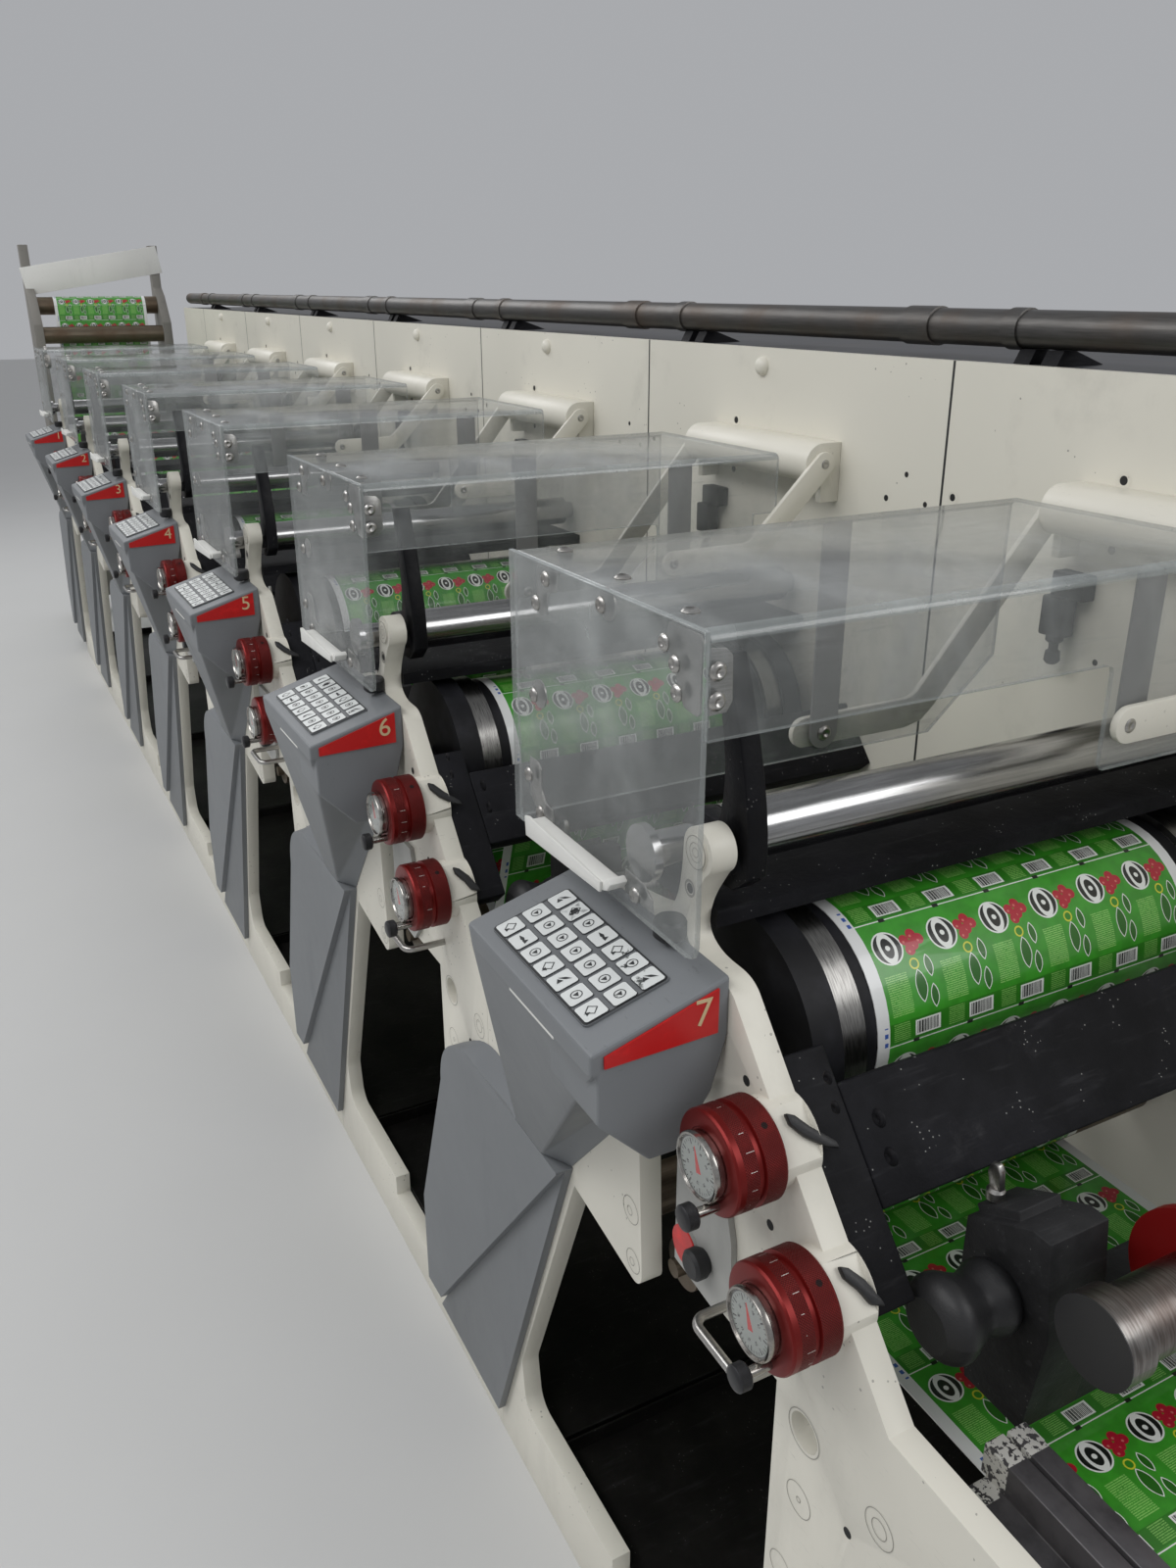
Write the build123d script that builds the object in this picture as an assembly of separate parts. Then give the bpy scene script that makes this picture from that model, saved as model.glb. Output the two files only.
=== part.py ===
from build123d import *
import math
import os

# Flexographic label press: seven printing units in a line on steel side plates, with a closed
# drive wall behind them and an infeed stand at the upstream end. Lengths are millimetres.
# Before the last shift, x is 0 at the roller boss of unit 1 and grows downstream, y is 0 at the
# outer face of the side plates and grows towards the drive wall, and z is 0 on the ground.

# Line and fits
UNITS = 7
PITCH = 800.0
CLEAR = 0.3
RUN_FIT = 0.05
CUT_OVER = 1.0

# Side plates
PLATE_T = 25.0
PLATE_BACK = 480.0
PLATE_GAP = 1.0
PLATE_LEN = PITCH - PLATE_GAP
LEDGE_Z = 778.0
BOSS_Z = 1146.0
BOSS_R = 22.0
BOSS_CAP_R = 15.3
BOSS_CAP_T = 2.0
NECK_FRONT = ((46.0, 1046.0), (10.0, 1048.0), (-13.0, 1062.0), (-12.0, 1085.0), (6.0, 1118.0))
NECK_BACK = ((-25.0, 1112.0), (-36.0, 1082.0), (-72.0, 1061.0))
SLOPE = 49.0
SLOPE_TOP_X = 66.0
SLOPE_TOP_Z = 1034.0
SHOULDER_Z = 1010.0
SHOULDER_X = -200.0
SHOULDER_RUN = 60.0
OPEN_LEFT_X = -404.0
OPEN_LEFT_Z = 200.0
OPEN_PEAK_X = -236.0
OPEN_PEAK_Z = 626.0
OPEN_FOOT_RUN = 12.0
OPEN_R = 30.0
RAIL_Z = 122.0
RAIL_END_X = -141.0
SILL_Z = 84.0
COLUMN_X = 152.0
COLUMN_HEAD_Z = 705.0
SLOT_X0 = -80.0
SLOT_X1 = -8.0
SLOT_HEAD_Z = 860.0
SLOT_LEAN = 14.0
LUG_TIP_Z = 602.0
LUG_R = 16.0
EYE_X = 193.0
EYE_Z = 685.0
EYE_R = 18.0
SMALL_HOLE_R = 4.0
HOLE_AT = ((256.0, 639.0), (129.0, 856.0), (85.0, 972.0), (-10.0, 1108.0))

# Consoles
CON_X0 = -198.0
CON_X1 = 56.0
CON_OUT = 131.0
CON_Z = 1019.0
CON_RISE = 38.0
CON_LIP = 20.0
CON_STEP = 8.0
FOOT_X0 = -350.0
FOOT_X1 = -277.0
FOOT_BACK_X = -239.0
FOOT_Z = 650.0
TONGUE_L = 90.0
TONGUE_FRONT = 7.0
TONGUE_DROP = 50.0
TONGUE_Z = 898.0
TONGUE_Y = (-75.0, -48.0)
TONGUE_BACK = 14.0
PANEL_T = 2.0
PANEL_W = 158.0
PANEL_D = 88.0
KEY_W = 21.0
KEY_D = 23.0
KEY_T = 1.0
KEY_ROWS = 6
KEY_COLS = 3
NUMBER_T = 2.0
NUMBER_IN = 12.0
NUMBER_LOW = (14.0, 12.0)
NUMBER_HIGH = 8.0
NUMBER_TIP = 3.0

# Skirt covers
COVER_T = 22.0
COVER_CROWN = ((-722.0, 258.0), (-612.0, 543.0), (-572.0, 622.0), (-522.0, 645.0), (-470.0, 649.0))
CROWN_BACK = ((-612.0, 543.0), (-596.0, 598.0), (-545.0, 640.0), (-497.0, 667.0), (-464.0, 676.0),
              (-423.0, 676.0))
CROWN_END_Z = 668.0
CROWN_LOW = 520.0
COVER_FOLD = ((-239.0, 647.0), (-670.0, 93.0))
COVER_LEFT = (-724.0, 90.0)
SKIRT_T = 11.0
SKIRT_TIP = (-471.0, 48.0)
SKIRT_LEFT = (-699.0, 50.0)

# Knobs with round gauges
KNOB_R = 44.5
KNOB_L = 48.0
KNOB_RIM = 4.0
KNOB_RIM_L = 3.0
GROOVE_W = 4.0
GROOVE_D = 3.0
SEAT_R = 39.0
SEAT_T = 11.0
KNOB_INSET = 24.0
KNOB_S1 = 110.0
KNOB_STEP = 121.0
KNOB_PIN_R = 8.0
KNOB_PIN_L = 9.0
GAUGE_R = 27.0
GAUGE_L = 14.0
GAUGE_OFF = 13.0
STUD_R = 4.5
STUD_L = 22.0
CAP_R = 11.0
CAP_L = 12.0
CAP_X = 16.0
CAP_Z = -30.0

# Bracket plates and wire handles between the knobs
BRACKET_PLATE_T = 6.0
BRACKET_SHAPE = ((-8.0, 850.0), (70.0, 850.0), (84.0, 800.0), (88.0, 730.0), (66.0, 706.0), (-8.0, 712.0))
DISC_X = 14.0
DISC_Z = 745.0
DISC_R = 21.0
DISC_T = 3.0
WIRE_R = 4.5
WIRE_X = (100.0, 174.0)
WIRE_Z = 752.0
WIRE_OUT = 55.0
WIRE_BEND = 12.0

# Drive wall, cabinet and pipe
WALL_Y = 713.0
WALL_T = 12.0
WALL_Z = 1490.0
WALL_X0 = -970.0
CABINET_D = 420.0
PLINTH_Z = 90.0
PLINTH_IN = 30.0
PIPE_R = 23.0
PIPE_Y = 745.0
PIPE_Z = 1531.0
PIPE_IN = 40.0
SADDLE_W = 26.0
SADDLE_X = (-425.0, -380.0)
SADDLE_FOOT = 60.0
SADDLE_FRONT = 20.0
SADDLE_TOP = 10.0

# Print drums and chrome rollers
DRUM_X = -38.0
DRUM_Z = 937.0
DRUM_R = 105.0
DRUM_RING_R = 113.0
DRUM_DISC_R = 119.0
DRUM_Y0 = 76.0
DRUM_DISC_L = 32.0
DRUM_RING_L = 30.0
SHAFT_R = 18.0
ROLL_X = -50.0
ROLL_Z = 1130.0
ROLL_R = 28.0
ROLL_Y0 = -26.0
ROLL_END_R = 26.0
ROLL_END_L = 8.0
NECK_R = 17.0
BEARING_SEAT = 17.0
ROLL_SIDE = 2.0
ROLL_WALL_GAP = 20.0

# Roller arms and trays
ROLLER_ARM_Y0 = 33.0
ROLLER_ARM_T = 20.0
ARM_BACK = ((-33.0, 1306.0), (-21.0, 1252.0), (-14.0, 1208.0), (-22.0, 1158.0))
ARM_FRONT = ((26.0, 1122.0), (24.0, 1172.0), (13.0, 1222.0), (-1.0, 1266.0), (-17.0, 1308.0))
ARM_HEEL = (4.0, 1104.0)
EYE_WALL = 12.0
STUB_R = 12.0
STUB_X = 2.0
STUB_DROP = 14.0
TRAY_X0 = -150.0
TRAY_X1 = -4.0
TRAY_Z = 1066.0
TRAY_T = 16.0

# Slide arms and ink beams on the slanted edge
ARM_W = 42.0
ARM_D = 36.0
ARM_S0 = 50.0
ARM_S1 = 260.0
BEAM_S0 = 84.0
BEAM_S1 = 189.0
BEAM_D = 34.0
FLUSH = 2.0

# Carriages, ball handles, slide rails and cross shafts
CAR_X0 = 200.0
CAR_X1 = 285.0
CAR_Y0 = 150.0
CAR_L = 64.0
CAR_TOP = 896.0
CAR_FALL = 36.0
CAR_FACE = 90.0
CAR_TAPER = 20.0
CAR_BULGE = 12.0
CAR_CREST = 66.0
CAR_Z0 = 700.0
CAR_BEAM_Z = 770.0
STEP_T = 9.0
STEP_X = (6.0, 48.0, 44.0)
STEP_FALL = (12.0, 2.0)
BALL_X = 244.0
BALL_Z = 815.0
BALL_R = 36.0
BALL_Y0 = 72.0
BALL_FACE_R = 23.0
BALL_WAIST_R = 27.0
BALL_WAIST_Y = 48.0
BALL_BULGE_Y = 24.0
BALL_TAIL_R = 32.0
BALL_NECK_R = 26.0
TAIL = 470.0
RAIL_X0 = 295.0
RAIL_INSET = 6.0
RAIL_Y = (98.0, 122.0)
RAIL_W = 20.0
RAIL_TOP = 727.0
RAIL_H = 30.0
XSHAFT_X = 345.0
XSHAFT_Z = 860.0
XSHAFT_R = 30.0
XCOLLAR_R = 36.0
XCOLLAR_Y = 135.0
XCOLLAR_L = 26.0
XDISC_R = 63.0
XDISC_Y = 248.0
XDISC_L = 10.0

# Drip pans
PAN_X0 = -322.0
PAN_GAP = 6.0
PAN_T = 3.0
PAN_Z = 92.0
PAN_RIM = 26.0

# Guard hoods
HOOD_X0 = -282.0
HOOD_X1 = 62.0
HOOD_Y0 = -40.0
HOOD_Y1 = 600.0
HOOD_Z = 1354.0
HOOD_T = 5.0
HOOD_SIDE_Z = 1268.0
HOOD_END_Z = 1080.0
HOOD_CUT_Y = 506.0
HOOD_CUT_Z = 1165.0
TAB_Y0 = 395.0
TAB_Y1 = 560.0
TAB_Z = 1166.0
ROD_PIN_R = 8.0
ROD_Y = 679.0
ROD_Z = 1334.0
HINGE_H = 60.0
CHEEK_T = 12.0
CHEEK_DROP = 58.0
BAR_W = 36.0
BAR_T = 8.0
NEAR_KNEE = (555.0, 1210.0)
NEAR_END_Y = 418.0
FAR_KNEE = (490.0, 1108.0)
FAR_END_Y = 324.0
STRAP_W = 38.0
STRAP_T = 3.0
NEAR_STRAP_Y = 415.0
FAR_STRAP_Y = 325.0

# Web and its rollers
WEB_T = 1.0
WEB_W = 420.0
WEB_Y0 = 156.0
WEB_Z = 612.0
IDLER_R = 28.0
IDLER_SHAFT_R = 10.0
IDLER_SIDE = 12.0
LEAVE_X = -60.0
WEB_TAIL = 10.0
WRAP_GAP = 0.4

# Infeed stand
INFEED_X = -1330.0
POST_W = 60.0
POST_D = 40.0
POST_RISE = 270.0
POST_Y = (45.0, 633.0)
STAND_L = 210.0
STAND_TOP = 1420.0
STAND_BASE = 80.0
TIE_TOP = 240.0
UPPER_R = 40.0
UPPER_Z = 1500.0
BROWN_R = 38.0
BROWN_Z = 1370.0
BROWN_OFF = 10.0
SIGN_OVER = 6.0
SIGN_H = 110.0
SIGN_T = 4.0
SIGN_DROP = 70.0
SIGN_TILT = 18.0

POST_TOP = UPPER_Z + POST_RISE
SIGN_Z = POST_TOP - SIGN_DROP
SIGN_W = POST_Y[1] + POST_D - POST_Y[0] + 2 * SIGN_OVER
LINE_X1 = (UNITS - 1) * PITCH + TAIL
CAB_Y0 = WALL_Y + WALL_T
CAB_Y1 = CAB_Y0 + CABINET_D
MID_X = (INFEED_X + LINE_X1) / 2
MID_Y = (CAB_Y1 - CON_OUT) / 2
SHIFT = Location((-MID_X, -MID_Y, 0))

unit_x = [i * PITCH for i in range(UNITS)]
slope_dir = Vector(math.cos(math.radians(SLOPE)), 0, -math.sin(math.radians(SLOPE)))
slope_out = Vector(math.sin(math.radians(SLOPE)), 0, math.cos(math.radians(SLOPE)))
slope_top = Vector(SLOPE_TOP_X, 0, SLOPE_TOP_Z)


def on_slope(along, outward):
    """Point measured down the slanted edge of a side plate and out from it."""
    return slope_top + slope_dir * along + slope_out * outward


ON_BASE = (Align.CENTER, Align.CENTER, Align.MIN)


def box(x0, x1, y0, y1, z0, z1):
    return Pos(x0, y0, z0) * Box(x1 - x0, y1 - y0, z1 - z0, align=(Align.MIN,) * 3)


def side_on(y):
    """Sketch plane seen from the operator's side, with x downstream and y up."""
    return Plane(origin=(0, y, 0), x_dir=(1, 0, 0), z_dir=(0, -1, 0))


def plate(sketch, y0, y1):
    """Plate cut to a sketch in x and z, from y0 to y1."""
    return extrude(side_on(y0) * sketch, y1 - y0, dir=(0, 1, 0))


def end_on(x):
    """Sketch plane seen from downstream, with y towards the drive wall and z up."""
    return Plane(origin=(x, 0, 0), x_dir=(0, 1, 0), z_dir=(1, 0, 0))


def outline(points):
    return make_face(Polyline(points, close=True))


def rod_y(x, z, r, y0, y1):
    return Location((x, y0, z), (-90, 0, 0)) * Cylinder(r, y1 - y0, align=ON_BASE)


def rod_x(y, z, r, x0, x1):
    return Location((x0, y, z), (0, 90, 0)) * Cylinder(r, x1 - x0, align=ON_BASE)


def turned_y(x, z, y0, steps):
    """Turned part on an axis along y: steps of radius and length from y0."""
    profile = [(0, 0)]
    at = 0.0
    for r, length in steps:
        profile.append((r, at))
        at += length
        profile.append((r, at))
    profile.append((0, at))
    return Pos(x, y0, z) * revolve(outline(profile), Axis.Y)


def wrap(x, z, r, a0, a1, t, y0, y1):
    """Curved sheet on a roller, between two angles counted from +x towards +z."""
    outer = CenterArc((x, z), r + t, a0, a1 - a0)
    inner = CenterArc((x, z), r, a0, a1 - a0)
    edges = outer + Line(outer @ 1, inner @ 1) + inner + Line(inner @ 0, outer @ 0)
    return plate(make_face(edges), y0, y1)


def facets(low, high):
    """Solid with flat triangular sides between two rings of equally many corners."""
    def tri(a, b, c):
        return Face(Wire.make_polygon([Vector(*a), Vector(*b), Vector(*c)], close=True))
    n = len(low)
    faces = []
    for i in range(n):
        j = (i + 1) % n
        faces.append(tri(low[i], low[j], high[j]))
        faces.append(tri(low[i], high[j], high[i]))
    for i in range(1, n - 1):
        faces.append(tri(low[0], low[i + 1], low[i]))
        faces.append(tri(high[0], high[i], high[i + 1]))
    return Solid(Shell(faces))


def repeat(shape):
    return [Pos(x, 0, 0) * shape for x in unit_x]


def save(name, shapes):
    flat = []
    for shape in shapes:
        flat += shape.solids()
    whole = flat[0] if len(flat) == 1 else Compound(children=flat)
    export_step(SHIFT * whole, f"parts/{name}.step")


def knob_centre(index):
    return on_slope(KNOB_S1 + index * KNOB_STEP, -KNOB_INSET)


# Side plates
def side_plate(x1):
    x0 = -PLATE_BACK
    ledge_x = SLOPE_TOP_X + (SLOPE_TOP_Z - LEDGE_Z) / math.tan(math.radians(SLOPE))
    head = (SLOPE_TOP_X, SLOPE_TOP_Z)
    shoulder = (SHOULDER_X, SHOULDER_Z)
    edges = Polyline((SHOULDER_X - SHOULDER_RUN, LEDGE_Z), (x0, LEDGE_Z), (x0, 0), (x1, 0), (x1, LEDGE_Z),
                     (ledge_x, LEDGE_Z), head)
    edges += Spline(head, *NECK_FRONT, (BOSS_R, BOSS_Z))
    edges += Line((BOSS_R, BOSS_Z), (-BOSS_R, BOSS_Z))
    edges += Spline((-BOSS_R, BOSS_Z), *NECK_BACK, shoulder)
    edges += Line(shoulder, (SHOULDER_X - SHOULDER_RUN, LEDGE_Z))
    body = make_face(edges) + Pos(0, BOSS_Z) * Circle(BOSS_R)
    leg = outline([(OPEN_PEAK_X, OPEN_PEAK_Z), (OPEN_LEFT_X, OPEN_LEFT_Z),
                   (OPEN_LEFT_X + OPEN_FOOT_RUN, RAIL_Z), (RAIL_END_X, RAIL_Z),
                   (RAIL_END_X, SILL_Z), (COLUMN_X, SILL_Z),
                   (COLUMN_X, COLUMN_HEAD_Z), (SLOT_X1, COLUMN_HEAD_Z), (SLOT_X1, SLOT_HEAD_Z),
                   (SLOT_X0 - SLOT_LEAN, SLOT_HEAD_Z), (SLOT_X0, LUG_TIP_Z)])
    low_left = leg.vertices().sort_by(Axis.X)[:2]
    leg = fillet(low_left, OPEN_R)
    tip = leg.vertices().sort_by_distance((SLOT_X0, LUG_TIP_Z, 0))[:1]
    leg = fillet(tip, LUG_R)
    body -= leg
    body -= Pos(EYE_X, EYE_Z) * Circle(EYE_R)
    for x, z in HOLE_AT:
        body -= Pos(x, z) * Circle(SMALL_HOLE_R)
    solid = plate(body, 0, PLATE_T)
    solid += rod_y(0, BOSS_Z, BOSS_CAP_R, -BOSS_CAP_T, PLATE_T)
    for k in range(2):
        c = knob_centre(k)
        solid += rod_y(c.X, c.Z, SEAT_R, -SEAT_T, PLATE_T)
        solid -= rod_y(c.X, c.Z, KNOB_PIN_R + RUN_FIT, -2 * SEAT_T, 0)
    return solid - rod_y(DRUM_X, DRUM_Z, SHAFT_R + RUN_FIT, PLATE_T - BEARING_SEAT, 2 * PLATE_T)


def side_plates():
    """Plates end to end along the line, the last one running on to the end of the wall."""
    inner = side_plate(PLATE_LEN - PLATE_BACK)
    return [Pos(x, 0, 0) * inner for x in unit_x[:-1]] + [Pos(unit_x[-1], 0, 0) * side_plate(TAIL)]


# Consoles
def console():
    """Folded housing: tilted top with a lip, body narrowing to the skirt cover, and a junction box."""
    lip_z = CON_Z - CON_LIP
    top_z = CON_Z + CON_RISE
    in_x = CON_X0 + CON_STEP
    top = [(CON_X0, -CON_OUT, CON_Z), (CON_X1, -CON_OUT, CON_Z), (CON_X1, -CLEAR, top_z),
           (CON_X0, -CLEAR, top_z)]
    mid = [(in_x, -CON_OUT, lip_z), (CON_X1, -CON_OUT, lip_z), (CON_X1, -CLEAR, lip_z),
           (in_x, -CLEAR, lip_z)]
    foot = [(FOOT_X0, -COVER_T, FOOT_Z), (FOOT_X1, -COVER_T, FOOT_Z), (FOOT_BACK_X, -CLEAR, FOOT_Z),
            (FOOT_X0, -CLEAR, FOOT_Z)]
    front_y = TONGUE_FRONT - CON_OUT
    box_z = lip_z - TONGUE_DROP
    tongue = outline([(front_y, lip_z), (front_y, box_z), (TONGUE_Y[0], TONGUE_Z), (TONGUE_Y[1], TONGUE_Z),
                      (-TONGUE_BACK, box_z), (-CLEAR, lip_z)])
    return facets(mid, top) + facets(foot, mid) + extrude(end_on(CON_X1 - TONGUE_L) * tongue, TONGUE_L)


pad_tilt = math.degrees(math.atan2(CON_RISE, CON_OUT))
pad_place = Location(((CON_X0 + CON_X1) / 2, -CON_OUT / 2, CON_Z + CON_RISE / 2 + CLEAR), (pad_tilt, 0, 0))


def keypad():
    sheet = Box(PANEL_W, PANEL_D, PANEL_T, align=ON_BASE)
    key = Box(KEY_W, KEY_D, KEY_T, align=ON_BASE)
    spots = GridLocations(PANEL_W / KEY_ROWS, PANEL_D / KEY_COLS, KEY_ROWS, KEY_COLS)
    for spot in spots:
        sheet += Pos(0, 0, PANEL_T) * (spot * key)
    return pad_place * sheet


def number_plate():
    y0 = NUMBER_IN - CON_OUT
    face = outline([(y0, CON_Z - NUMBER_LOW[0]), (-NUMBER_IN, CON_Z - NUMBER_LOW[1]),
                    (-NUMBER_IN, CON_Z + CON_RISE - NUMBER_HIGH), (y0, CON_Z - NUMBER_TIP)])
    return extrude(end_on(CON_X1 + CLEAR) * face, NUMBER_T)


# Skirt covers: an upper sheet with a rounded crown, which leans back at the top, over a lower one that is
# set back along a diagonal fold
def crown_lean():
    """Sloped top of the cover, from the front crown up to the higher back edge."""
    x1 = FOOT_X0 - CLEAR
    front = (*COVER_CROWN[1:], (x1, FOOT_Z - CLEAR))
    back = (*CROWN_BACK, (x1, CROWN_END_Z))
    sections = []
    for y, points in ((-COVER_T, front), (-CLEAR, back)):
        rim = Spline(points)
        foot = Polyline(rim @ 1, (points[-1][0], CROWN_LOW), (points[0][0], CROWN_LOW), rim @ 0)
        sections.append(side_on(y) * make_face(rim + foot))
    return loft(sections, ruled=True)


def skirt_cover():
    top = (FOOT_X0, FOOT_Z - CLEAR)
    tip = (COVER_FOLD[0][0], FOOT_Z - CLEAR)
    crown = Spline(COVER_CROWN[1:])
    sides = Polyline(crown @ 1, top, tip, *COVER_FOLD, COVER_LEFT, COVER_CROWN[0], crown @ 0)
    lower = outline([COVER_FOLD[0], SKIRT_TIP, SKIRT_LEFT, COVER_FOLD[1]])
    body = plate(make_face(crown + sides), -COVER_T, -CLEAR) + crown_lean()
    return body + plate(lower, -SKIRT_T, -CLEAR)


# Knobs
def knob(k):
    c = knob_centre(k)
    y0 = -SEAT_T - CLEAR - KNOB_L
    half = (KNOB_L - GROOVE_W) / 2
    body = turned_y(c.X, c.Z, y0, [(KNOB_R - KNOB_RIM, KNOB_RIM_L), (KNOB_R, half - KNOB_RIM_L),
                                   (KNOB_R - GROOVE_D, GROOVE_W), (KNOB_R, half), (KNOB_PIN_R, KNOB_PIN_L)])
    gauge = rod_y(c.X - GAUGE_OFF, c.Z, GAUGE_R, y0 - GAUGE_L, y0 + GAUGE_L)
    cap = turned_y(c.X + CAP_X, c.Z + CAP_Z, y0 - STUD_L - CAP_L, [(CAP_R, CAP_L), (STUD_R, STUD_L + CAP_L)])
    return body + gauge + cap


# Bracket plate between the knobs, with its round number disc
def bracket_plate():
    body = plate(outline(BRACKET_SHAPE), -BRACKET_PLATE_T - CLEAR, -CLEAR)
    return body + rod_y(DISC_X, DISC_Z, DISC_R, -BRACKET_PLATE_T - CLEAR - DISC_T, -BRACKET_PLATE_T)


def wire_handle():
    pts = [(WIRE_X[0], -CLEAR, WIRE_Z), (WIRE_X[0], -WIRE_OUT, WIRE_Z), (WIRE_X[1], -WIRE_OUT, WIRE_Z),
           (WIRE_X[1], -CLEAR, WIRE_Z)]
    path = FilletPolyline(*pts, radius=WIRE_BEND)
    return sweep(Plane(origin=pts[0], z_dir=(0, -1, 0)) * Circle(WIRE_R), path=path)


# Rollers
def drum():
    y0 = PLATE_T - BEARING_SEAT + CLEAR
    web_l = WEB_W + 2 * (WEB_Y0 - DRUM_Y0 - DRUM_DISC_L - DRUM_RING_L)
    steps = [(SHAFT_R, DRUM_Y0 - y0), (DRUM_DISC_R, DRUM_DISC_L), (DRUM_RING_R, DRUM_RING_L),
             (DRUM_R, web_l), (DRUM_RING_R, DRUM_RING_L), (DRUM_DISC_R, DRUM_DISC_L)]
    length = sum(s[1] for s in steps)
    steps.append((SHAFT_R, CAB_Y0 - CLEAR - y0 - length))
    return turned_y(DRUM_X, DRUM_Z, y0, steps)


def chrome_roller():
    y_body = ROLLER_ARM_Y0 + ROLLER_ARM_T + ROLL_SIDE
    y_end = WALL_Y - ROLL_WALL_GAP
    steps = [(ROLL_END_R, ROLL_END_L), (NECK_R, y_body - ROLL_Y0 - ROLL_END_L), (ROLL_R, y_end - y_body),
             (NECK_R, CAB_Y0 - CLEAR - y_end)]
    return turned_y(ROLL_X, ROLL_Z, ROLL_Y0, steps)


def roller_arm():
    """Curved arm standing on the roller's journal, with a stub into the plate's boss side."""
    back = Spline(ARM_BACK)
    front = Spline(ARM_FRONT)
    eye_low = (ROLL_X, ROLL_Z - NECK_R - EYE_WALL)
    rest = Polyline(back @ 1, (ROLL_X, ROLL_Z + NECK_R + EYE_WALL), eye_low, ARM_HEEL, front @ 0)
    shape = make_face(back + rest + front + Line(front @ 1, back @ 0))
    shape += Pos(ROLL_X, ROLL_Z) * Circle(NECK_R + EYE_WALL)
    shape -= Pos(ROLL_X, ROLL_Z) * Circle(NECK_R + RUN_FIT)
    y1 = ROLLER_ARM_Y0 + ROLLER_ARM_T
    return plate(shape, ROLLER_ARM_Y0, y1) + rod_y(STUB_X, BOSS_Z - STUB_DROP, STUB_R, PLATE_T + CLEAR, y1)


def under_tray():
    return box(TRAY_X0, TRAY_X1, PLATE_T + CLEAR, WALL_Y - CLEAR, TRAY_Z, TRAY_Z + TRAY_T)


# Slide arm and ink beam
def slope_bar(s0, s1, depth, y0, y1):
    corners = [on_slope(s0, -depth), on_slope(s1, -depth), on_slope(s1, -FLUSH), on_slope(s0, -FLUSH)]
    return plate(outline([(p.X, p.Z) for p in corners]), y0, y1)


def slide_arm():
    return slope_bar(ARM_S0, ARM_S1, ARM_D, PLATE_T + CLEAR, PLATE_T + CLEAR + ARM_W)


def ink_beam():
    return slope_bar(BEAM_S0, BEAM_S1, BEAM_D, PLATE_T + 2 * CLEAR + ARM_W, WALL_Y - CLEAR)


# Carriage with its stepped block, and the ball handle in front of it
def carriage():
    y1 = CAR_Y0 + CAR_L
    low_top = CAR_TOP - CAR_FALL
    foot_x = CAR_X0 + CAR_TAPER
    head = outline([(CAR_X0, low_top), (CAR_X0, CAR_TOP - CAR_FACE), (foot_x, CAR_Z0), (CAR_X1, CAR_Z0),
                    (CAR_X1 + CAR_BULGE, CAR_TOP - CAR_FACE), (CAR_X1, CAR_TOP),
                    (CAR_X0 + CAR_CREST, CAR_TOP)])
    step = outline([(CAR_X0 + STEP_X[0], low_top), (CAR_X0 + STEP_X[1], CAR_TOP - STEP_FALL[0]),
                    (CAR_X0 + STEP_X[2], CAR_TOP - STEP_FALL[1]), (CAR_X0, low_top + STEP_T)])
    body = plate(head, CAR_Y0, y1) + plate(step, CAR_Y0 + STEP_T, y1 - STEP_T)
    return body + box(foot_x, CAR_X1, y1 - STEP_T, WALL_Y - CLEAR, CAR_Z0, CAR_BEAM_Z)


def ball_handle():
    y1 = CAR_Y0 - CLEAR - BALL_Y0
    curve = Spline([(BALL_FACE_R, 0), (BALL_R, BALL_BULGE_Y), (BALL_WAIST_R, BALL_WAIST_Y),
                    (BALL_TAIL_R, (BALL_WAIST_Y + y1) / 2), (BALL_NECK_R, y1)])
    edges = Line((0, 0), (BALL_FACE_R, 0)) + curve + Polyline((BALL_NECK_R, y1), (0, y1), (0, 0))
    return Pos(BALL_X, BALL_Y0, BALL_Z) * revolve(make_face(edges), Axis.Y)


def slide_rail():
    low = RAIL_TOP - RAIL_H
    body = box(RAIL_X0 + RAIL_INSET, TAIL, PLATE_T + CLEAR, RAIL_Y[1] + RAIL_W, low - RAIL_H, low)
    for y in RAIL_Y:
        body += box(RAIL_X0, TAIL, y, y + RAIL_W, low, RAIL_TOP)
    return body


def cross_shaft():
    steps = [(XCOLLAR_R, XCOLLAR_L), (XSHAFT_R, XDISC_Y - XCOLLAR_Y - XCOLLAR_L), (XDISC_R, XDISC_L)]
    length = sum(s[1] for s in steps)
    steps.append((XSHAFT_R, WALL_Y - CLEAR - XCOLLAR_Y - length))
    return turned_y(XSHAFT_X, XSHAFT_Z, XCOLLAR_Y, steps)


def drip_pan(x1):
    """Black pan between the side plate and the drive wall, with a rim turned up at each end."""
    y = (PLATE_T + CLEAR, WALL_Y - CLEAR)
    body = box(PAN_X0, x1, *y, PAN_Z, PAN_Z + PAN_T)
    for x in (PAN_X0, x1 - PAN_T):
        body += box(x, x + PAN_T, *y, PAN_Z, PAN_Z + PAN_RIM)
    return body


def drip_pans():
    inner = drip_pan(PITCH - PAN_GAP + PAN_X0)
    return [Pos(x, 0, 0) * inner for x in unit_x[:-1]] + [Pos(unit_x[-1], 0, 0) * drip_pan(TAIL)]


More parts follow.
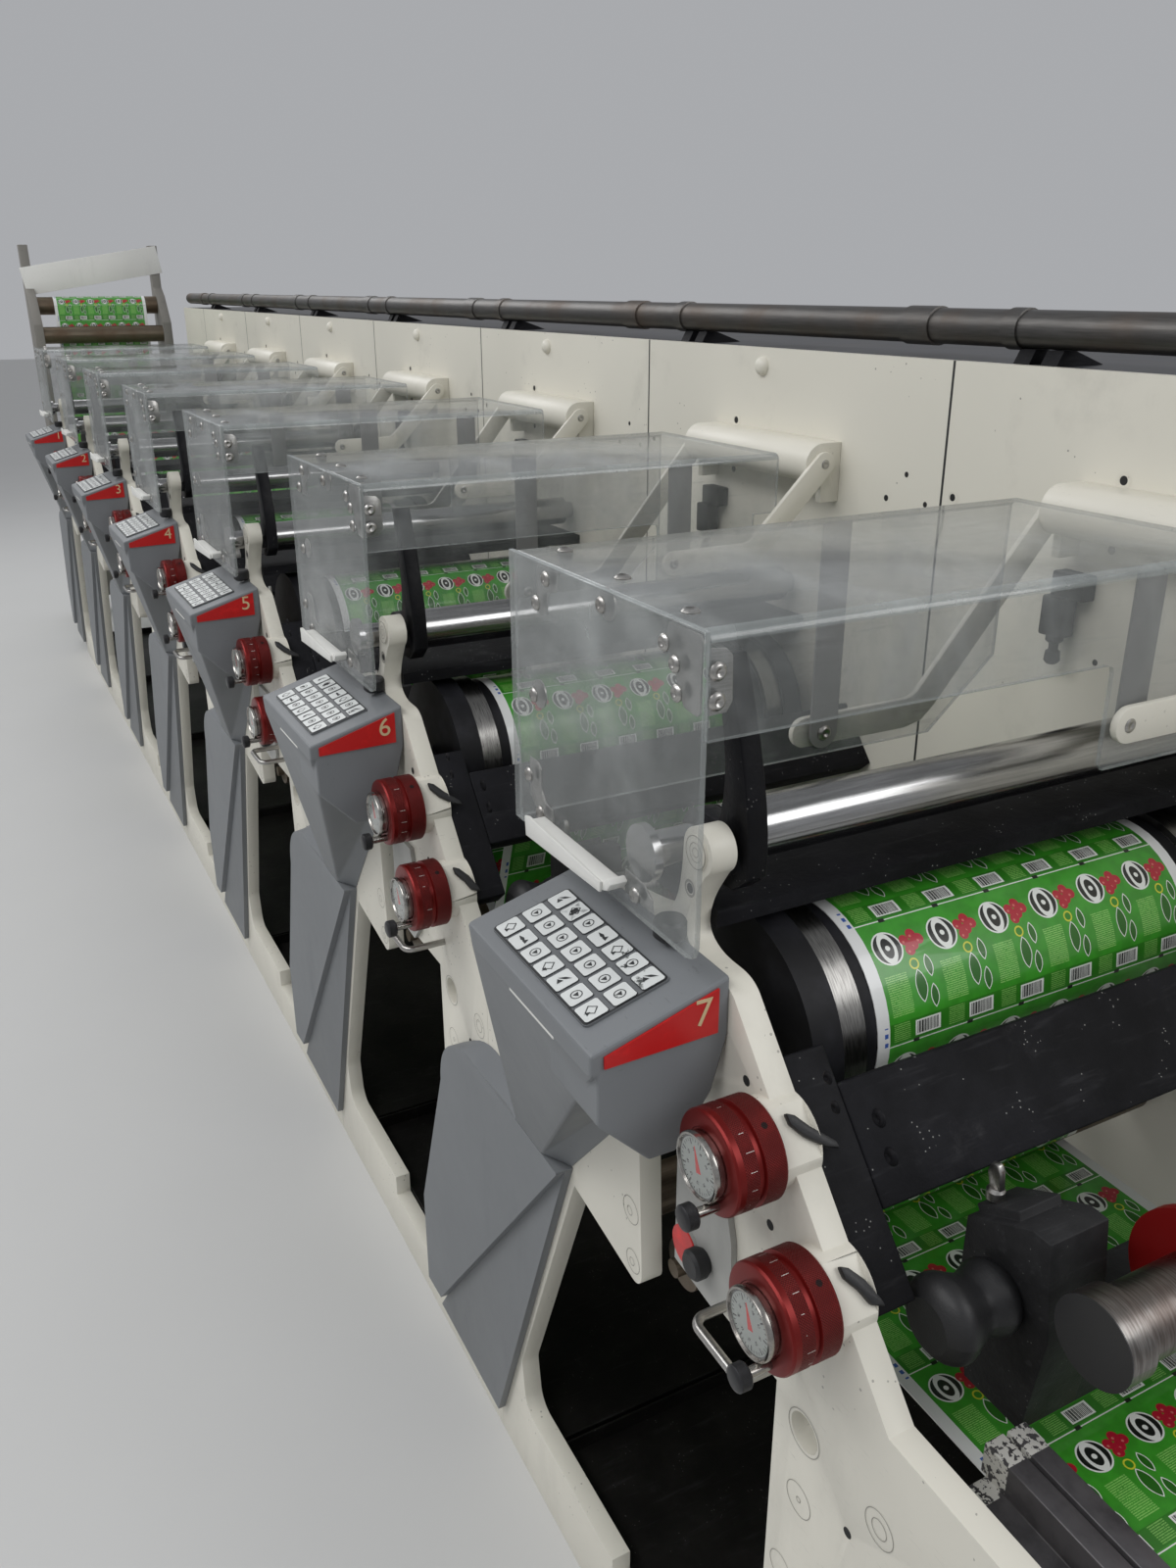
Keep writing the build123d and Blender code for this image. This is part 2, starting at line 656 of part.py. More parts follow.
# Guard hood: clear sheets hung by inner straps on two arms that swing on the hinge rod
def hood_sheets():
    """Top, front and two unlike ends: one deep with a slanted cut, the other shallow with a tab."""
    body = box(HOOD_X0, HOOD_X1, HOOD_Y0, HOOD_Y1, HOOD_Z - HOOD_T, HOOD_Z)
    body += box(HOOD_X0, HOOD_X1, HOOD_Y0, HOOD_Y0 + HOOD_T, HOOD_END_Z, HOOD_Z)
    deep = outline([(HOOD_Y0, HOOD_Z), (HOOD_Y0, HOOD_END_Z), (HOOD_CUT_Y, HOOD_END_Z),
                    (HOOD_Y1, HOOD_CUT_Z), (HOOD_Y1, HOOD_Z)])
    shallow = outline([(HOOD_Y0, HOOD_Z), (HOOD_Y0, HOOD_SIDE_Z), (TAB_Y0, HOOD_SIDE_Z), (TAB_Y0, TAB_Z),
                       (TAB_Y1, TAB_Z), (TAB_Y1, HOOD_SIDE_Z), (HOOD_Y1, HOOD_SIDE_Z), (HOOD_Y1, HOOD_Z)])
    body += extrude(end_on(HOOD_X0) * deep, HOOD_T)
    return body + extrude(end_on(HOOD_X1 - HOOD_T) * shallow, HOOD_T)


def hood_arm(x, knee, end_y):
    """Flat arm from the hinge rod down to a knee and level to its round end."""
    h = BAR_W / 2
    fall = Vector(knee[0] - ROD_Y, knee[1] - ROD_Z).normalized() * h
    side = Vector(-fall.Y, fall.X)
    bar = outline([(ROD_Y + side.X, ROD_Z + side.Y), (knee[0] + side.X, knee[1] + side.Y),
                   (knee[0] - side.X, knee[1] - side.Y), (ROD_Y - side.X, ROD_Z - side.Y)])
    bar += outline([(knee[0], knee[1] - h), (end_y, knee[1] - h), (end_y, knee[1] + h),
                    (knee[0], knee[1] + h)])
    for y, z in ((ROD_Y, ROD_Z), knee, (end_y, knee[1])):
        bar += Pos(y, z) * Circle(h)
    return extrude(end_on(x) * (bar - Pos(ROD_Y, ROD_Z) * Circle(ROD_PIN_R + RUN_FIT)), BAR_T)


def strap(x, y, z):
    """Inner strap from under the top sheet down to a round end at the arm."""
    r = STRAP_W / 2
    top = HOOD_Z - HOOD_T - CLEAR
    shape = outline([(y, top), (y, z), (y + STRAP_W, z), (y + STRAP_W, top)])
    shape += Pos(y + r, z) * Circle(r)
    return extrude(end_on(x) * shape, STRAP_T)


near_x = HOOD_X1 + CLEAR
far_x = HOOD_X0 - CLEAR - BAR_T


def hood():
    arms = [hood_arm(near_x, NEAR_KNEE, NEAR_END_Y), hood_arm(far_x, FAR_KNEE, FAR_END_Y)]
    straps = [strap(HOOD_X1 - HOOD_T - CLEAR - STRAP_T, NEAR_STRAP_Y, NEAR_KNEE[1]),
              strap(HOOD_X0 + HOOD_T + CLEAR, FAR_STRAP_Y, FAR_KNEE[1])]
    return Compound(children=[hood_sheets()] + arms + straps)


def hinge_block():
    """Block with a rounded front on the wall, a cheek at each end and the rod that the arms swing on."""
    x0 = far_x + BAR_T + CLEAR
    x1 = near_x - CLEAR
    h = HINGE_H / 2
    body = box(x0, x1, ROD_Y, WALL_Y - CLEAR, ROD_Z - h, ROD_Z + h)
    body += rod_x(ROD_Y, ROD_Z, h, x0, x1)
    for x in (x0, x1 - CHEEK_T):
        body += box(x, x + CHEEK_T, ROD_Y, WALL_Y - CLEAR, ROD_Z - CHEEK_DROP, ROD_Z)
    return body + rod_x(ROD_Y, ROD_Z, ROD_PIN_R, far_x - CLEAR, near_x + BAR_T + CLEAR)


# Drive wall, cabinet and pipe
def drive_wall():
    wall = box(WALL_X0, LINE_X1, WALL_Y, CAB_Y0, PLINTH_Z, WALL_Z)
    for x in unit_x:
        wall -= rod_y(x + DRUM_X, DRUM_Z, SHAFT_R + RUN_FIT, WALL_Y - CUT_OVER, CAB_Y0 + CUT_OVER)
        wall -= rod_y(x + ROLL_X, ROLL_Z, NECK_R + RUN_FIT, WALL_Y - CUT_OVER, CAB_Y0 + CUT_OVER)
    return wall


def drive_cabinet():
    body = box(WALL_X0, LINE_X1, CAB_Y0 + CLEAR, CAB_Y1, PLINTH_Z, WALL_Z)
    return body + box(WALL_X0 + PLINTH_IN, LINE_X1 - PLINTH_IN, WALL_Y + PLINTH_IN, CAB_Y1 - PLINTH_IN, 0,
                      PLINTH_Z)


def saddles():
    foot_z = WALL_Z + CLEAR
    top_z = PIPE_Z - PIPE_R - CLEAR
    face = outline([(PIPE_Y - SADDLE_FRONT, foot_z), (PIPE_Y + SADDLE_FOOT, foot_z),
                    (PIPE_Y + SADDLE_TOP, top_z), (PIPE_Y - SADDLE_TOP, top_z)])
    return Compound(children=[extrude(end_on(x) * face, SADDLE_W) for x in SADDLE_X])


# Web: up beside each drum, over it, down to the low roller and on to the next unit
web_y1 = WEB_Y0 + WEB_W
lap = IDLER_R + CLEAR
drum_lap = DRUM_R + CLEAR
rise_x = DRUM_X - drum_lap - WEB_T - lap
idler_z = WEB_Z + lap


def web_unit(x, x_from):
    y = (WEB_Y0, web_y1)
    right = x + rise_x + lap
    out_x = x + LEAVE_X
    reach = Vector(out_x - (x + DRUM_X), idler_z - DRUM_Z)
    turn = math.degrees(math.acos((drum_lap - lap) / reach.length))
    heading = math.degrees(math.atan2(reach.Y, reach.X))
    leave = heading + turn
    n = Vector(math.cos(math.radians(leave)), math.sin(math.radians(leave)))
    a = Vector(x + DRUM_X, DRUM_Z) + n * drum_lap
    b = Vector(out_x, idler_z) + n * lap
    d = (b - a).normalized() * CLEAR
    a += d
    b -= d
    drop = outline([(a.X, a.Y), (b.X, b.Y), (b.X + n.X * WEB_T, b.Y + n.Y * WEB_T),
                    (a.X + n.X * WEB_T, a.Y + n.Y * WEB_T)])
    return [
        box(x_from + CLEAR, x + rise_x - CLEAR, *y, WEB_Z - WEB_T, WEB_Z),
        wrap(x + rise_x, idler_z, lap, -90 + WRAP_GAP, -WRAP_GAP, WEB_T, *y),
        box(right, right + WEB_T, *y, idler_z + CLEAR, DRUM_Z - CLEAR),
        wrap(x + DRUM_X, DRUM_Z, drum_lap, leave - 360 + WRAP_GAP, 180 - WRAP_GAP, WEB_T, *y),
        plate(drop, *y),
        wrap(out_x, idler_z, lap, leave + WRAP_GAP, 270 - WRAP_GAP, WEB_T, *y),
    ]


infeed_face = INFEED_X + POST_W + UPPER_R + lap


def web():
    x = infeed_face
    start = x + CLEAR + WEB_T + lap
    sheets = [wrap(x - UPPER_R, UPPER_Z, UPPER_R + CLEAR, WRAP_GAP, 90, WEB_T, WEB_Y0, web_y1),
              box(x + CLEAR, x + CLEAR + WEB_T, WEB_Y0, web_y1, idler_z + CLEAR, UPPER_Z - CLEAR),
              wrap(start, idler_z, lap, 180 + WRAP_GAP, 270 - WRAP_GAP, WEB_T, WEB_Y0, web_y1)]
    for at in unit_x:
        sheets += web_unit(at, start)
        start = at + LEAVE_X
    return sheets + [box(start + CLEAR, LINE_X1 - WEB_TAIL, WEB_Y0, web_y1, WEB_Z - WEB_T, WEB_Z)]


def idler(x, z, r):
    y0 = PLATE_T + CLEAR
    body = WALL_Y - CLEAR - y0 - 2 * IDLER_SIDE
    return turned_y(x, z, y0, [(IDLER_SHAFT_R, IDLER_SIDE), (r, body), (IDLER_SHAFT_R, IDLER_SIDE)])


def web_rollers():
    rollers = []
    for x in unit_x:
        rollers += [idler(x + rise_x, idler_z, IDLER_R), idler(x + LEAVE_X, idler_z, IDLER_R)]
    y0 = POST_Y[0] + POST_D + CLEAR
    y1 = POST_Y[1] - CLEAR
    low_x = infeed_face + CLEAR + WEB_T + lap
    rollers.append(rod_y(infeed_face - UPPER_R, UPPER_Z, UPPER_R, y0, y1))
    rollers.append(rod_y(low_x + BROWN_OFF, BROWN_Z, BROWN_R, y0, y1))
    rollers.append(rod_y(low_x, idler_z, IDLER_R, y0, y1))
    return rollers


# Infeed stand and its sign
def infeed_stand():
    solid = None
    for y in POST_Y:
        side = outline([(INFEED_X, 0), (INFEED_X + STAND_L, 0), (INFEED_X + STAND_L, STAND_TOP),
                        (INFEED_X + 2 * POST_W, UPPER_Z + UPPER_R),
                        (INFEED_X + POST_W, UPPER_Z + 2 * UPPER_R),
                        (INFEED_X + POST_W, POST_TOP), (INFEED_X, POST_TOP)])
        panel = plate(side, y, y + POST_D)
        solid = panel if solid is None else solid + panel
    return solid + box(INFEED_X, INFEED_X + POST_W, POST_Y[0], POST_Y[1] + POST_D, STAND_BASE, TIE_TOP)


def sign_plate():
    """Board leaning back, its lower rear edge against the posts."""
    lean = math.radians(SIGN_TILT)
    reach = (SIGN_H * math.sin(lean) + SIGN_T * math.cos(lean)) / 2
    place = (INFEED_X + POST_W + CLEAR + reach, (POST_Y[0] + POST_Y[1] + POST_D) / 2, SIGN_Z)
    return Location(place, (0, SIGN_TILT, 0)) * Box(SIGN_T, SIGN_W, SIGN_H)


os.makedirs("parts", exist_ok=True)
save("side_plates", side_plates())
save("consoles", repeat(console()))
save("keypads", repeat(keypad()))
save("number_plates", repeat(number_plate()))
save("skirt_covers", repeat(skirt_cover()))
save("bracket_plates", repeat(bracket_plate()))
save("wire_handles", repeat(wire_handle()))
save("slide_arms", repeat(slide_arm()))
save("ink_beams", repeat(ink_beam()))
save("roller_arms", repeat(roller_arm()))
save("under_trays", repeat(under_tray()))
save("carriages", repeat(carriage()))
save("ball_handles", repeat(ball_handle()))
save("slide_rails", repeat(slide_rail()))
save("cross_shafts", repeat(cross_shaft()))
save("drip_pans", drip_pans())
save("hinge_blocks", repeat(hinge_block()))
save("drive_wall", [drive_wall()])
save("drive_cabinet", [drive_cabinet()])
save("top_pipe", [rod_x(PIPE_Y, PIPE_Z, PIPE_R, WALL_X0 + PIPE_IN, LINE_X1 - PIPE_IN)])
save("pipe_saddles", repeat(saddles()))
save("web", web())
save("web_rollers", web_rollers())
save("infeed_stand", [infeed_stand()])
save("sign_plate", [sign_plate()])

moving = {"hood": hood(), "drum": drum(), "chrome_roller": chrome_roller(), "knob_upper": knob(0),
          "knob_lower": knob(1)}
for i, x in enumerate(unit_x):
    for name, shape in moving.items():
        save(f"{name}_{i + 1}", [Pos(x, 0, 0) * shape])
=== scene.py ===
from math import atan2, copysign, cos, pi, radians, sin, tau

import bpy
from bpy.props import FloatProperty, FloatVectorProperty, PointerProperty
from mathutils import Matrix, Vector


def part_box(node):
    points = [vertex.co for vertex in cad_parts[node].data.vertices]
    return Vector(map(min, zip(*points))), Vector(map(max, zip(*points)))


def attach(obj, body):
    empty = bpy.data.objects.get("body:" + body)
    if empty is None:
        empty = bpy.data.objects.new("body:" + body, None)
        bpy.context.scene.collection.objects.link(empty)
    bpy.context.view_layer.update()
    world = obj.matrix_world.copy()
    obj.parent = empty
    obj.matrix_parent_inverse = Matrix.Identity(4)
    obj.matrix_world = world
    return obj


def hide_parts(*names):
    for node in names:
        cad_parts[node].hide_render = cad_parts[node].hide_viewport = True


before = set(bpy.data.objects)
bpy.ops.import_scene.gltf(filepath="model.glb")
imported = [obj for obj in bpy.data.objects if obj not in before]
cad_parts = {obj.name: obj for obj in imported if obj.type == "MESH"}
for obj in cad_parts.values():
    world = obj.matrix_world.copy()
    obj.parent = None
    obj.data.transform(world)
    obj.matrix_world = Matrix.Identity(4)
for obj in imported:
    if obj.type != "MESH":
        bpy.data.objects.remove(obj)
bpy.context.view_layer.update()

bl_info = {
    "name": "Label press finish",
    "version": (1, 0, 0),
    "blender": (4, 5, 0),
    "location": "View3D > Sidebar > Press",
    "description": "Dresses a flexographic label press with its finishes, hoods, knobs and fittings",
    "category": "Object",
}

UNITS = sum(1 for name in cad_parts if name.startswith("hood_"))
PITCH = (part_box(f"drum_{UNITS}")[0].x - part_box("drum_1")[0].x) / (UNITS - 1)
MM = 0.001
PITCH_MM = PITCH / MM
# How far the side plates reach upstream of the first boss, and their raised seats out of their face
PLATE_BACK = 480.0
SEAT_OUT = 11.0
BOSS = Vector((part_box("side_plates")[0].x + PLATE_BACK * MM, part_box("side_plates")[0].y + SEAT_OUT * MM, 0))
# Height of the roller bosses and place of the drive wall's face, in millimetres
BOSS_Z = 1146.0
WALL_Y = 713.0
# Upper corner of the side plates' slanted edge in x and z, and how steeply the edge falls
SLOPE_TOP = (66.0, 1034.0)
SLOPE = radians(49.0)
# The drum's shaft in x and z, and the radius in metres at which the film lies on the drum
DRUM_AT = (-38.0, 937.0)
DRUM_WRAP = 0.1058
# The drive cabinet's deck and the top of its plinth, and how high ink has splashed on the wall, in metres
DECK_Z = 1.4895
PLINTH_Z = 0.0899
INK_Z = 0.62
# The camera's place in millimetres, and its own directions in the room
CAMERA_AT = (5588, -512, 1585)
CAMERA_RIGHT = (0.46233, 0.88670, -0.00395)
CAMERA_DOWN = (0.33009, -0.17624, -0.92735)
CAMERA_AHEAD = (-0.82298, 0.42744, -0.37417)
AISLE = (0, -1, 0)
# How far flat marks lie off their face in millimetres, and the greatest width of a sheet's cut edge in metres
MARK_LIFT = 0.35
NARROW = 0.0052
SPECK = (0.03, 0.028, 0.025, 1)
SEAM = (0.03, 0.03, 0.03, 1)


def at(x, y, z):
    """A place counted in millimetres from the roller boss of the first unit."""
    return BOSS + Vector((x, y, z)) * MM


class PressColours(bpy.types.PropertyGroup):
    cream: FloatVectorProperty(name="Cream paint", description="Paint of the side plates and drive wall",
                               subtype="COLOR", size=4, default=(0.72, 0.695, 0.61, 1))
    grey: FloatVectorProperty(name="Console grey", description="Paint of the consoles and skirt covers",
                              subtype="COLOR", size=4, default=(0.185, 0.195, 0.205, 1))
    black: FloatVectorProperty(name="Black steel", description="Blackened arms, beams and carriages",
                               subtype="COLOR", size=4, default=(0.008, 0.008, 0.010, 1))
    red: FloatVectorProperty(name="Red anodising", description="Knurled adjusting knobs",
                             subtype="COLOR", size=4, default=(0.135, 0.006, 0.005, 1))
    sign_red: FloatVectorProperty(name="Red plate", description="Unit number plates",
                                  subtype="COLOR", size=4, default=(0.50, 0.012, 0.012, 1))
    steel: FloatVectorProperty(name="Steel", description="Bare steel rollers and brackets",
                               subtype="COLOR", size=4, default=(0.46, 0.45, 0.43, 1))
    film: FloatVectorProperty(name="Film green", description="Ground colour of the printed web",
                              subtype="COLOR", size=4, default=(0.045, 0.30, 0.022, 1))
    clear: FloatVectorProperty(name="Clear sheet", description="Tint of the guard hoods",
                               subtype="COLOR", size=4, default=(0.31, 0.325, 0.322, 1))


class PressStage(bpy.types.PropertyGroup):
    lens: FloatProperty(name="Lens", description="Focal length of the camera", default=28.42, min=10,
                        unit="CAMERA")
    sun: FloatProperty(name="Main lamp", description="Strength of the main lamp", default=150.0, min=0)
    sky: FloatProperty(name="Ambient light", description="Strength of the light from all round",
                       default=0.42, min=0)
    floor: FloatVectorProperty(name="Floor", description="Colour of the floor", subtype="COLOR", size=4,
                               default=(0.62, 0.62, 0.61, 1))


# Shader arithmetic
def arithmetic(operation, swapped=False):
    """A Python operator that adds one Math node, with its two values swapped for a reflected operator."""
    def operator(self, other):
        return self.finish.math(operation, *((other, self) if swapped else (self, other)))
    return operator


class Wire:
    """A shader socket on which Python arithmetic adds Math nodes."""
    __add__, __radd__ = arithmetic("ADD"), arithmetic("ADD", True)
    __sub__, __rsub__ = arithmetic("SUBTRACT"), arithmetic("SUBTRACT", True)
    __mul__, __rmul__ = arithmetic("MULTIPLY"), arithmetic("MULTIPLY", True)
    __truediv__ = arithmetic("DIVIDE")
    __gt__, __lt__ = arithmetic("GREATER_THAN"), arithmetic("LESS_THAN")

    def __init__(self, finish, socket):
        self.finish = finish
        self.socket = socket

    def calc(self, operation, *others):
        return self.finish.math(operation, self, *others)

    def clamp(self):
        return self.finish.node("ShaderNodeClamp", {}, {0: self})

    def step(self, low, high):
        """0 below low, 1 above high, and smooth between them."""
        return self.finish.node("ShaderNodeMapRange", {"interpolation_type": "SMOOTHSTEP"},
                                {0: self, 1: low, 2: high})


class Finish:
    """A material whose nodes are added one by one."""

    def __init__(self, name, **sockets):
        self.material = bpy.data.materials.new(name)
        self.material.use_nodes = True
        self.tree = self.material.node_tree
        self.shader = self.tree.nodes["Principled BSDF"]
        self.position = self.node("ShaderNodeTexCoord", {}, {}, "Object")
        self.set(**sockets)

    def feed(self, socket, value):
        if isinstance(value, Wire):
            self.tree.links.new(value.socket, socket)
        else:
            socket.default_value = value

    def node(self, kind, settings, inputs, output=0):
        made = self.tree.nodes.new(kind)
        for key, value in settings.items():
            setattr(made, key, value)
        for key, value in inputs.items():
            self.feed(made.inputs[key], value)
        return Wire(self, made.outputs[output])

    def math(self, operation, *values):
        return self.node("ShaderNodeMath", {"operation": operation}, dict(enumerate(values)))

    def mix(self, factor, low, high):
        return self.node("ShaderNodeMix", {"data_type": "RGBA"}, {0: factor, 6: low, 7: high}, 2)

    def shade(self, height, low, high, colour, dark, light):
        """Two tints of a colour, mixed where a height rises from low to high."""
        return self.mix(height.step(low, high), tint(colour, dark), tint(colour, light))

    def layers(self, colour, *coats):
        """Lays colours over one another, each where its factor says."""
        for factor, coat in coats:
            colour = self.mix(factor, colour, coat)
        return colour

    def set(self, **sockets):
        for key, value in sockets.items():
            self.feed(self.shader.inputs[key.replace("_", " ")], value)

    def axes(self, vector=None):
        split = self.node("ShaderNodeSeparateXYZ", {}, {0: vector or self.position})
        return [Wire(self, output) for output in split.socket.node.outputs]

    def scaled(self, factors):
        return self.node("ShaderNodeVectorMath", {"operation": "MULTIPLY"}, {0: self.position, 1: factors})

    def wrapped(self):
        """The two axes of the UV map that follows a turned surface."""
        return self.axes(self.node("ShaderNodeUVMap", {"uv_map": "around"}, {}))[:2]

    def noise(self, scale, detail=3.0, roughness=0.55, vector=None):
        return self.node("ShaderNodeTexNoise", {}, {"Vector": vector or self.position, "Scale": scale,
                                                    "Detail": detail, "Roughness": roughness})

    def cells(self, scale):
        return self.node("ShaderNodeTexVoronoi", {}, {"Vector": self.position, "Scale": scale}, "Distance")

    def done(self, height, strength, distance, **sockets):
        """Sets what varies, adds the relief and hands over the material."""
        bump = {"Strength": strength, "Distance": distance, "Height": height}
        self.set(Normal=self.node("ShaderNodeBump", {}, bump), **sockets)
        return self.material


def tint(colour, factor):
    return tuple(min(1.0, c * factor) for c in colour[:3]) + (1.0,)


def painted(name, colour, grime, rough, speck):
    """Sprayed paint: soft unevenness, rubbed dirt, small dark specks and fine scratches."""
    f = Finish(name, Specular_IOR_Level=0.4)
    broad = f.noise(2.2)
    smear = f.noise(9.0, 5.0, 0.65, f.scaled((1.0, 1.0, 0.35)))
    dirt = smear.step(0.52, 0.74) * grime
    specks = (f.cells(90.0) < 0.12) * (f.noise(11.0) > 0.56) * speck
    scratch = (f.noise(60.0, 2.0, 0.5, f.scaled((1.0, 1.0, 14.0))) > 0.70) * (f.noise(4.0) > 0.52)
    base = f.shade(broad, 0.35, 0.7, colour, 0.95, 1.05)
    base = f.layers(base, (dirt * 0.5, tint(colour, 0.52)), (scratch * 0.35, tint(colour, 0.6)),
                    (specks, SPECK))
    return f.done(f.noise(420.0, 2.0), 0.12, 0.0004, Base_Color=base,
                  Roughness=rough + (dirt * 0.25) + (f.noise(30.0) * 0.08))


def worn_black(name, colour, wear, rough, dust):
    """Blackened steel with ink crust, pale dust specks and rubbed bright patches."""
    f = Finish(name, Specular_IOR_Level=0.15)
    broad = f.noise(7.0, 6.0, 0.65)
    rub = f.noise(16.0, 8.0, 0.7).step(0.60, 0.78) * wear
    streak = f.noise(26.0, 3.0, 0.6, f.scaled((4.0, 0.5, 4.0))).step(0.56, 0.75) * wear
    specks = (f.cells(200.0) < 0.13) * (f.noise(28.0) > 0.58) * dust
    base = f.shade(broad, 0.35, 0.7, colour, 0.5, 1.4)
    base = f.layers(base, (rub * 0.6, (0.055, 0.054, 0.056, 1)), (streak * 0.3, (0.075, 0.075, 0.08, 1)),
                    (specks, (0.42, 0.42, 0.40, 1)))
    return f.done(f.noise(130.0, 6.0, 0.65) + (f.noise(18.0) * 0.6), 0.45, 0.0012, Base_Color=base,
                  Roughness=(rough + 0.18) - (rub * 0.22) - (broad * 0.18))


def bare_steel(name, colour, rough, oil, along=(60.0, 2.0, 60.0)):
    """Turned or rolled steel with fine lines along or around it and brown oil film."""
    f = Finish(name, Metallic=1.0)
    lines = f.noise(12.0, 4.0, 0.6, f.scaled(along))
    film = f.noise(8.0, 5.0, 0.6).step(0.42, 0.75) * oil
    base = f.shade(lines, 0.3, 0.75, colour, 0.8, 1.12)
    return f.done(lines, 0.08, 0.0003, Base_Color=f.mix(film, base, (0.13, 0.085, 0.055, 1)),
                  Roughness=rough + (lines * 0.12) + (film * 0.22))


def plastic(name, colour, rough, grain):
    """Moulded plastic or ink, a little rubbed; also the painted shade of the drilled holes."""
    f = Finish(name)
    wear = f.noise(40.0, 5.0, 0.6).step(0.5, 0.8)
    return f.done(f.noise(600.0, 2.0), grain, 0.0004, Base_Color=f.mix(wear * 0.5, colour, tint(colour, 1.9)),
                  Roughness=rough + (f.noise(90.0) * 0.15))


def clear_sheet(name, colour, alpha, haze):
    """Scratched clear plastic sheet with wiped smears."""
    f = Finish(name, Specular_IOR_Level=0.9)
    smear = f.noise(4.0, 6.0, 0.62, f.scaled((1.0, 2.2, 1.2))).step(0.40, 0.78)
    swirl = f.noise(1.7, 8.0, 0.7, f.scaled((1.4, 1.0, 1.0))).step(0.50, 0.72)
    scratch = f.noise(34.0, vector=f.scaled((9.0, 0.4, 0.4))).step(0.60, 0.72) * f.noise(3.0).step(0.42, 0.6)
    across = f.noise(30.0, vector=f.scaled((0.4, 0.4, 9.0))).step(0.60, 0.72) * f.noise(2.6).step(0.42, 0.6)
    edge = f.node("ShaderNodeLayerWeight", {}, {"Blend": 0.22}, "Facing")
    veil = (smear * haze) + (swirl * haze * 0.8) + (scratch * 0.12) + (across * 0.10)
    f.set(Base_Color=f.mix(smear * 0.5 + (swirl * 0.4), colour, tint(colour, 1.9)),
          Roughness=0.08 + (smear * 0.2), Alpha=(alpha + veil + (edge * 0.34)).clamp())
    return f.material


def drum_finish(name, black, steel):
    """Black end discs, turned steel rings and a dull sleeve, told apart by place along the drum."""
    f = Finish(name, Specular_IOR_Level=0.25)
    y = f.axes()[1]
    start, ring, ring_end, end = (at(0, edge, 0).y for edge in (108, 138.2, 593.8, 624))
    metal = ((y > start) * (y < ring)) + ((y > ring_end) * (y < end))
    lines = f.noise(10.0, 3.0, 0.5, f.scaled((6.0, 90.0, 6.0)))
    dark = f.shade(f.noise(20.0, 5.0), 0.4, 0.75, black, 0.7, 2.2)
    bright = f.shade(lines, 0.3, 0.7, steel, 0.34, 0.6)
    return f.done(lines, 0.1, 0.0004, Base_Color=f.mix(metal, dark, bright), Metallic=metal,
                  Roughness=0.5 - (metal * 0.26) + (lines * 0.1))


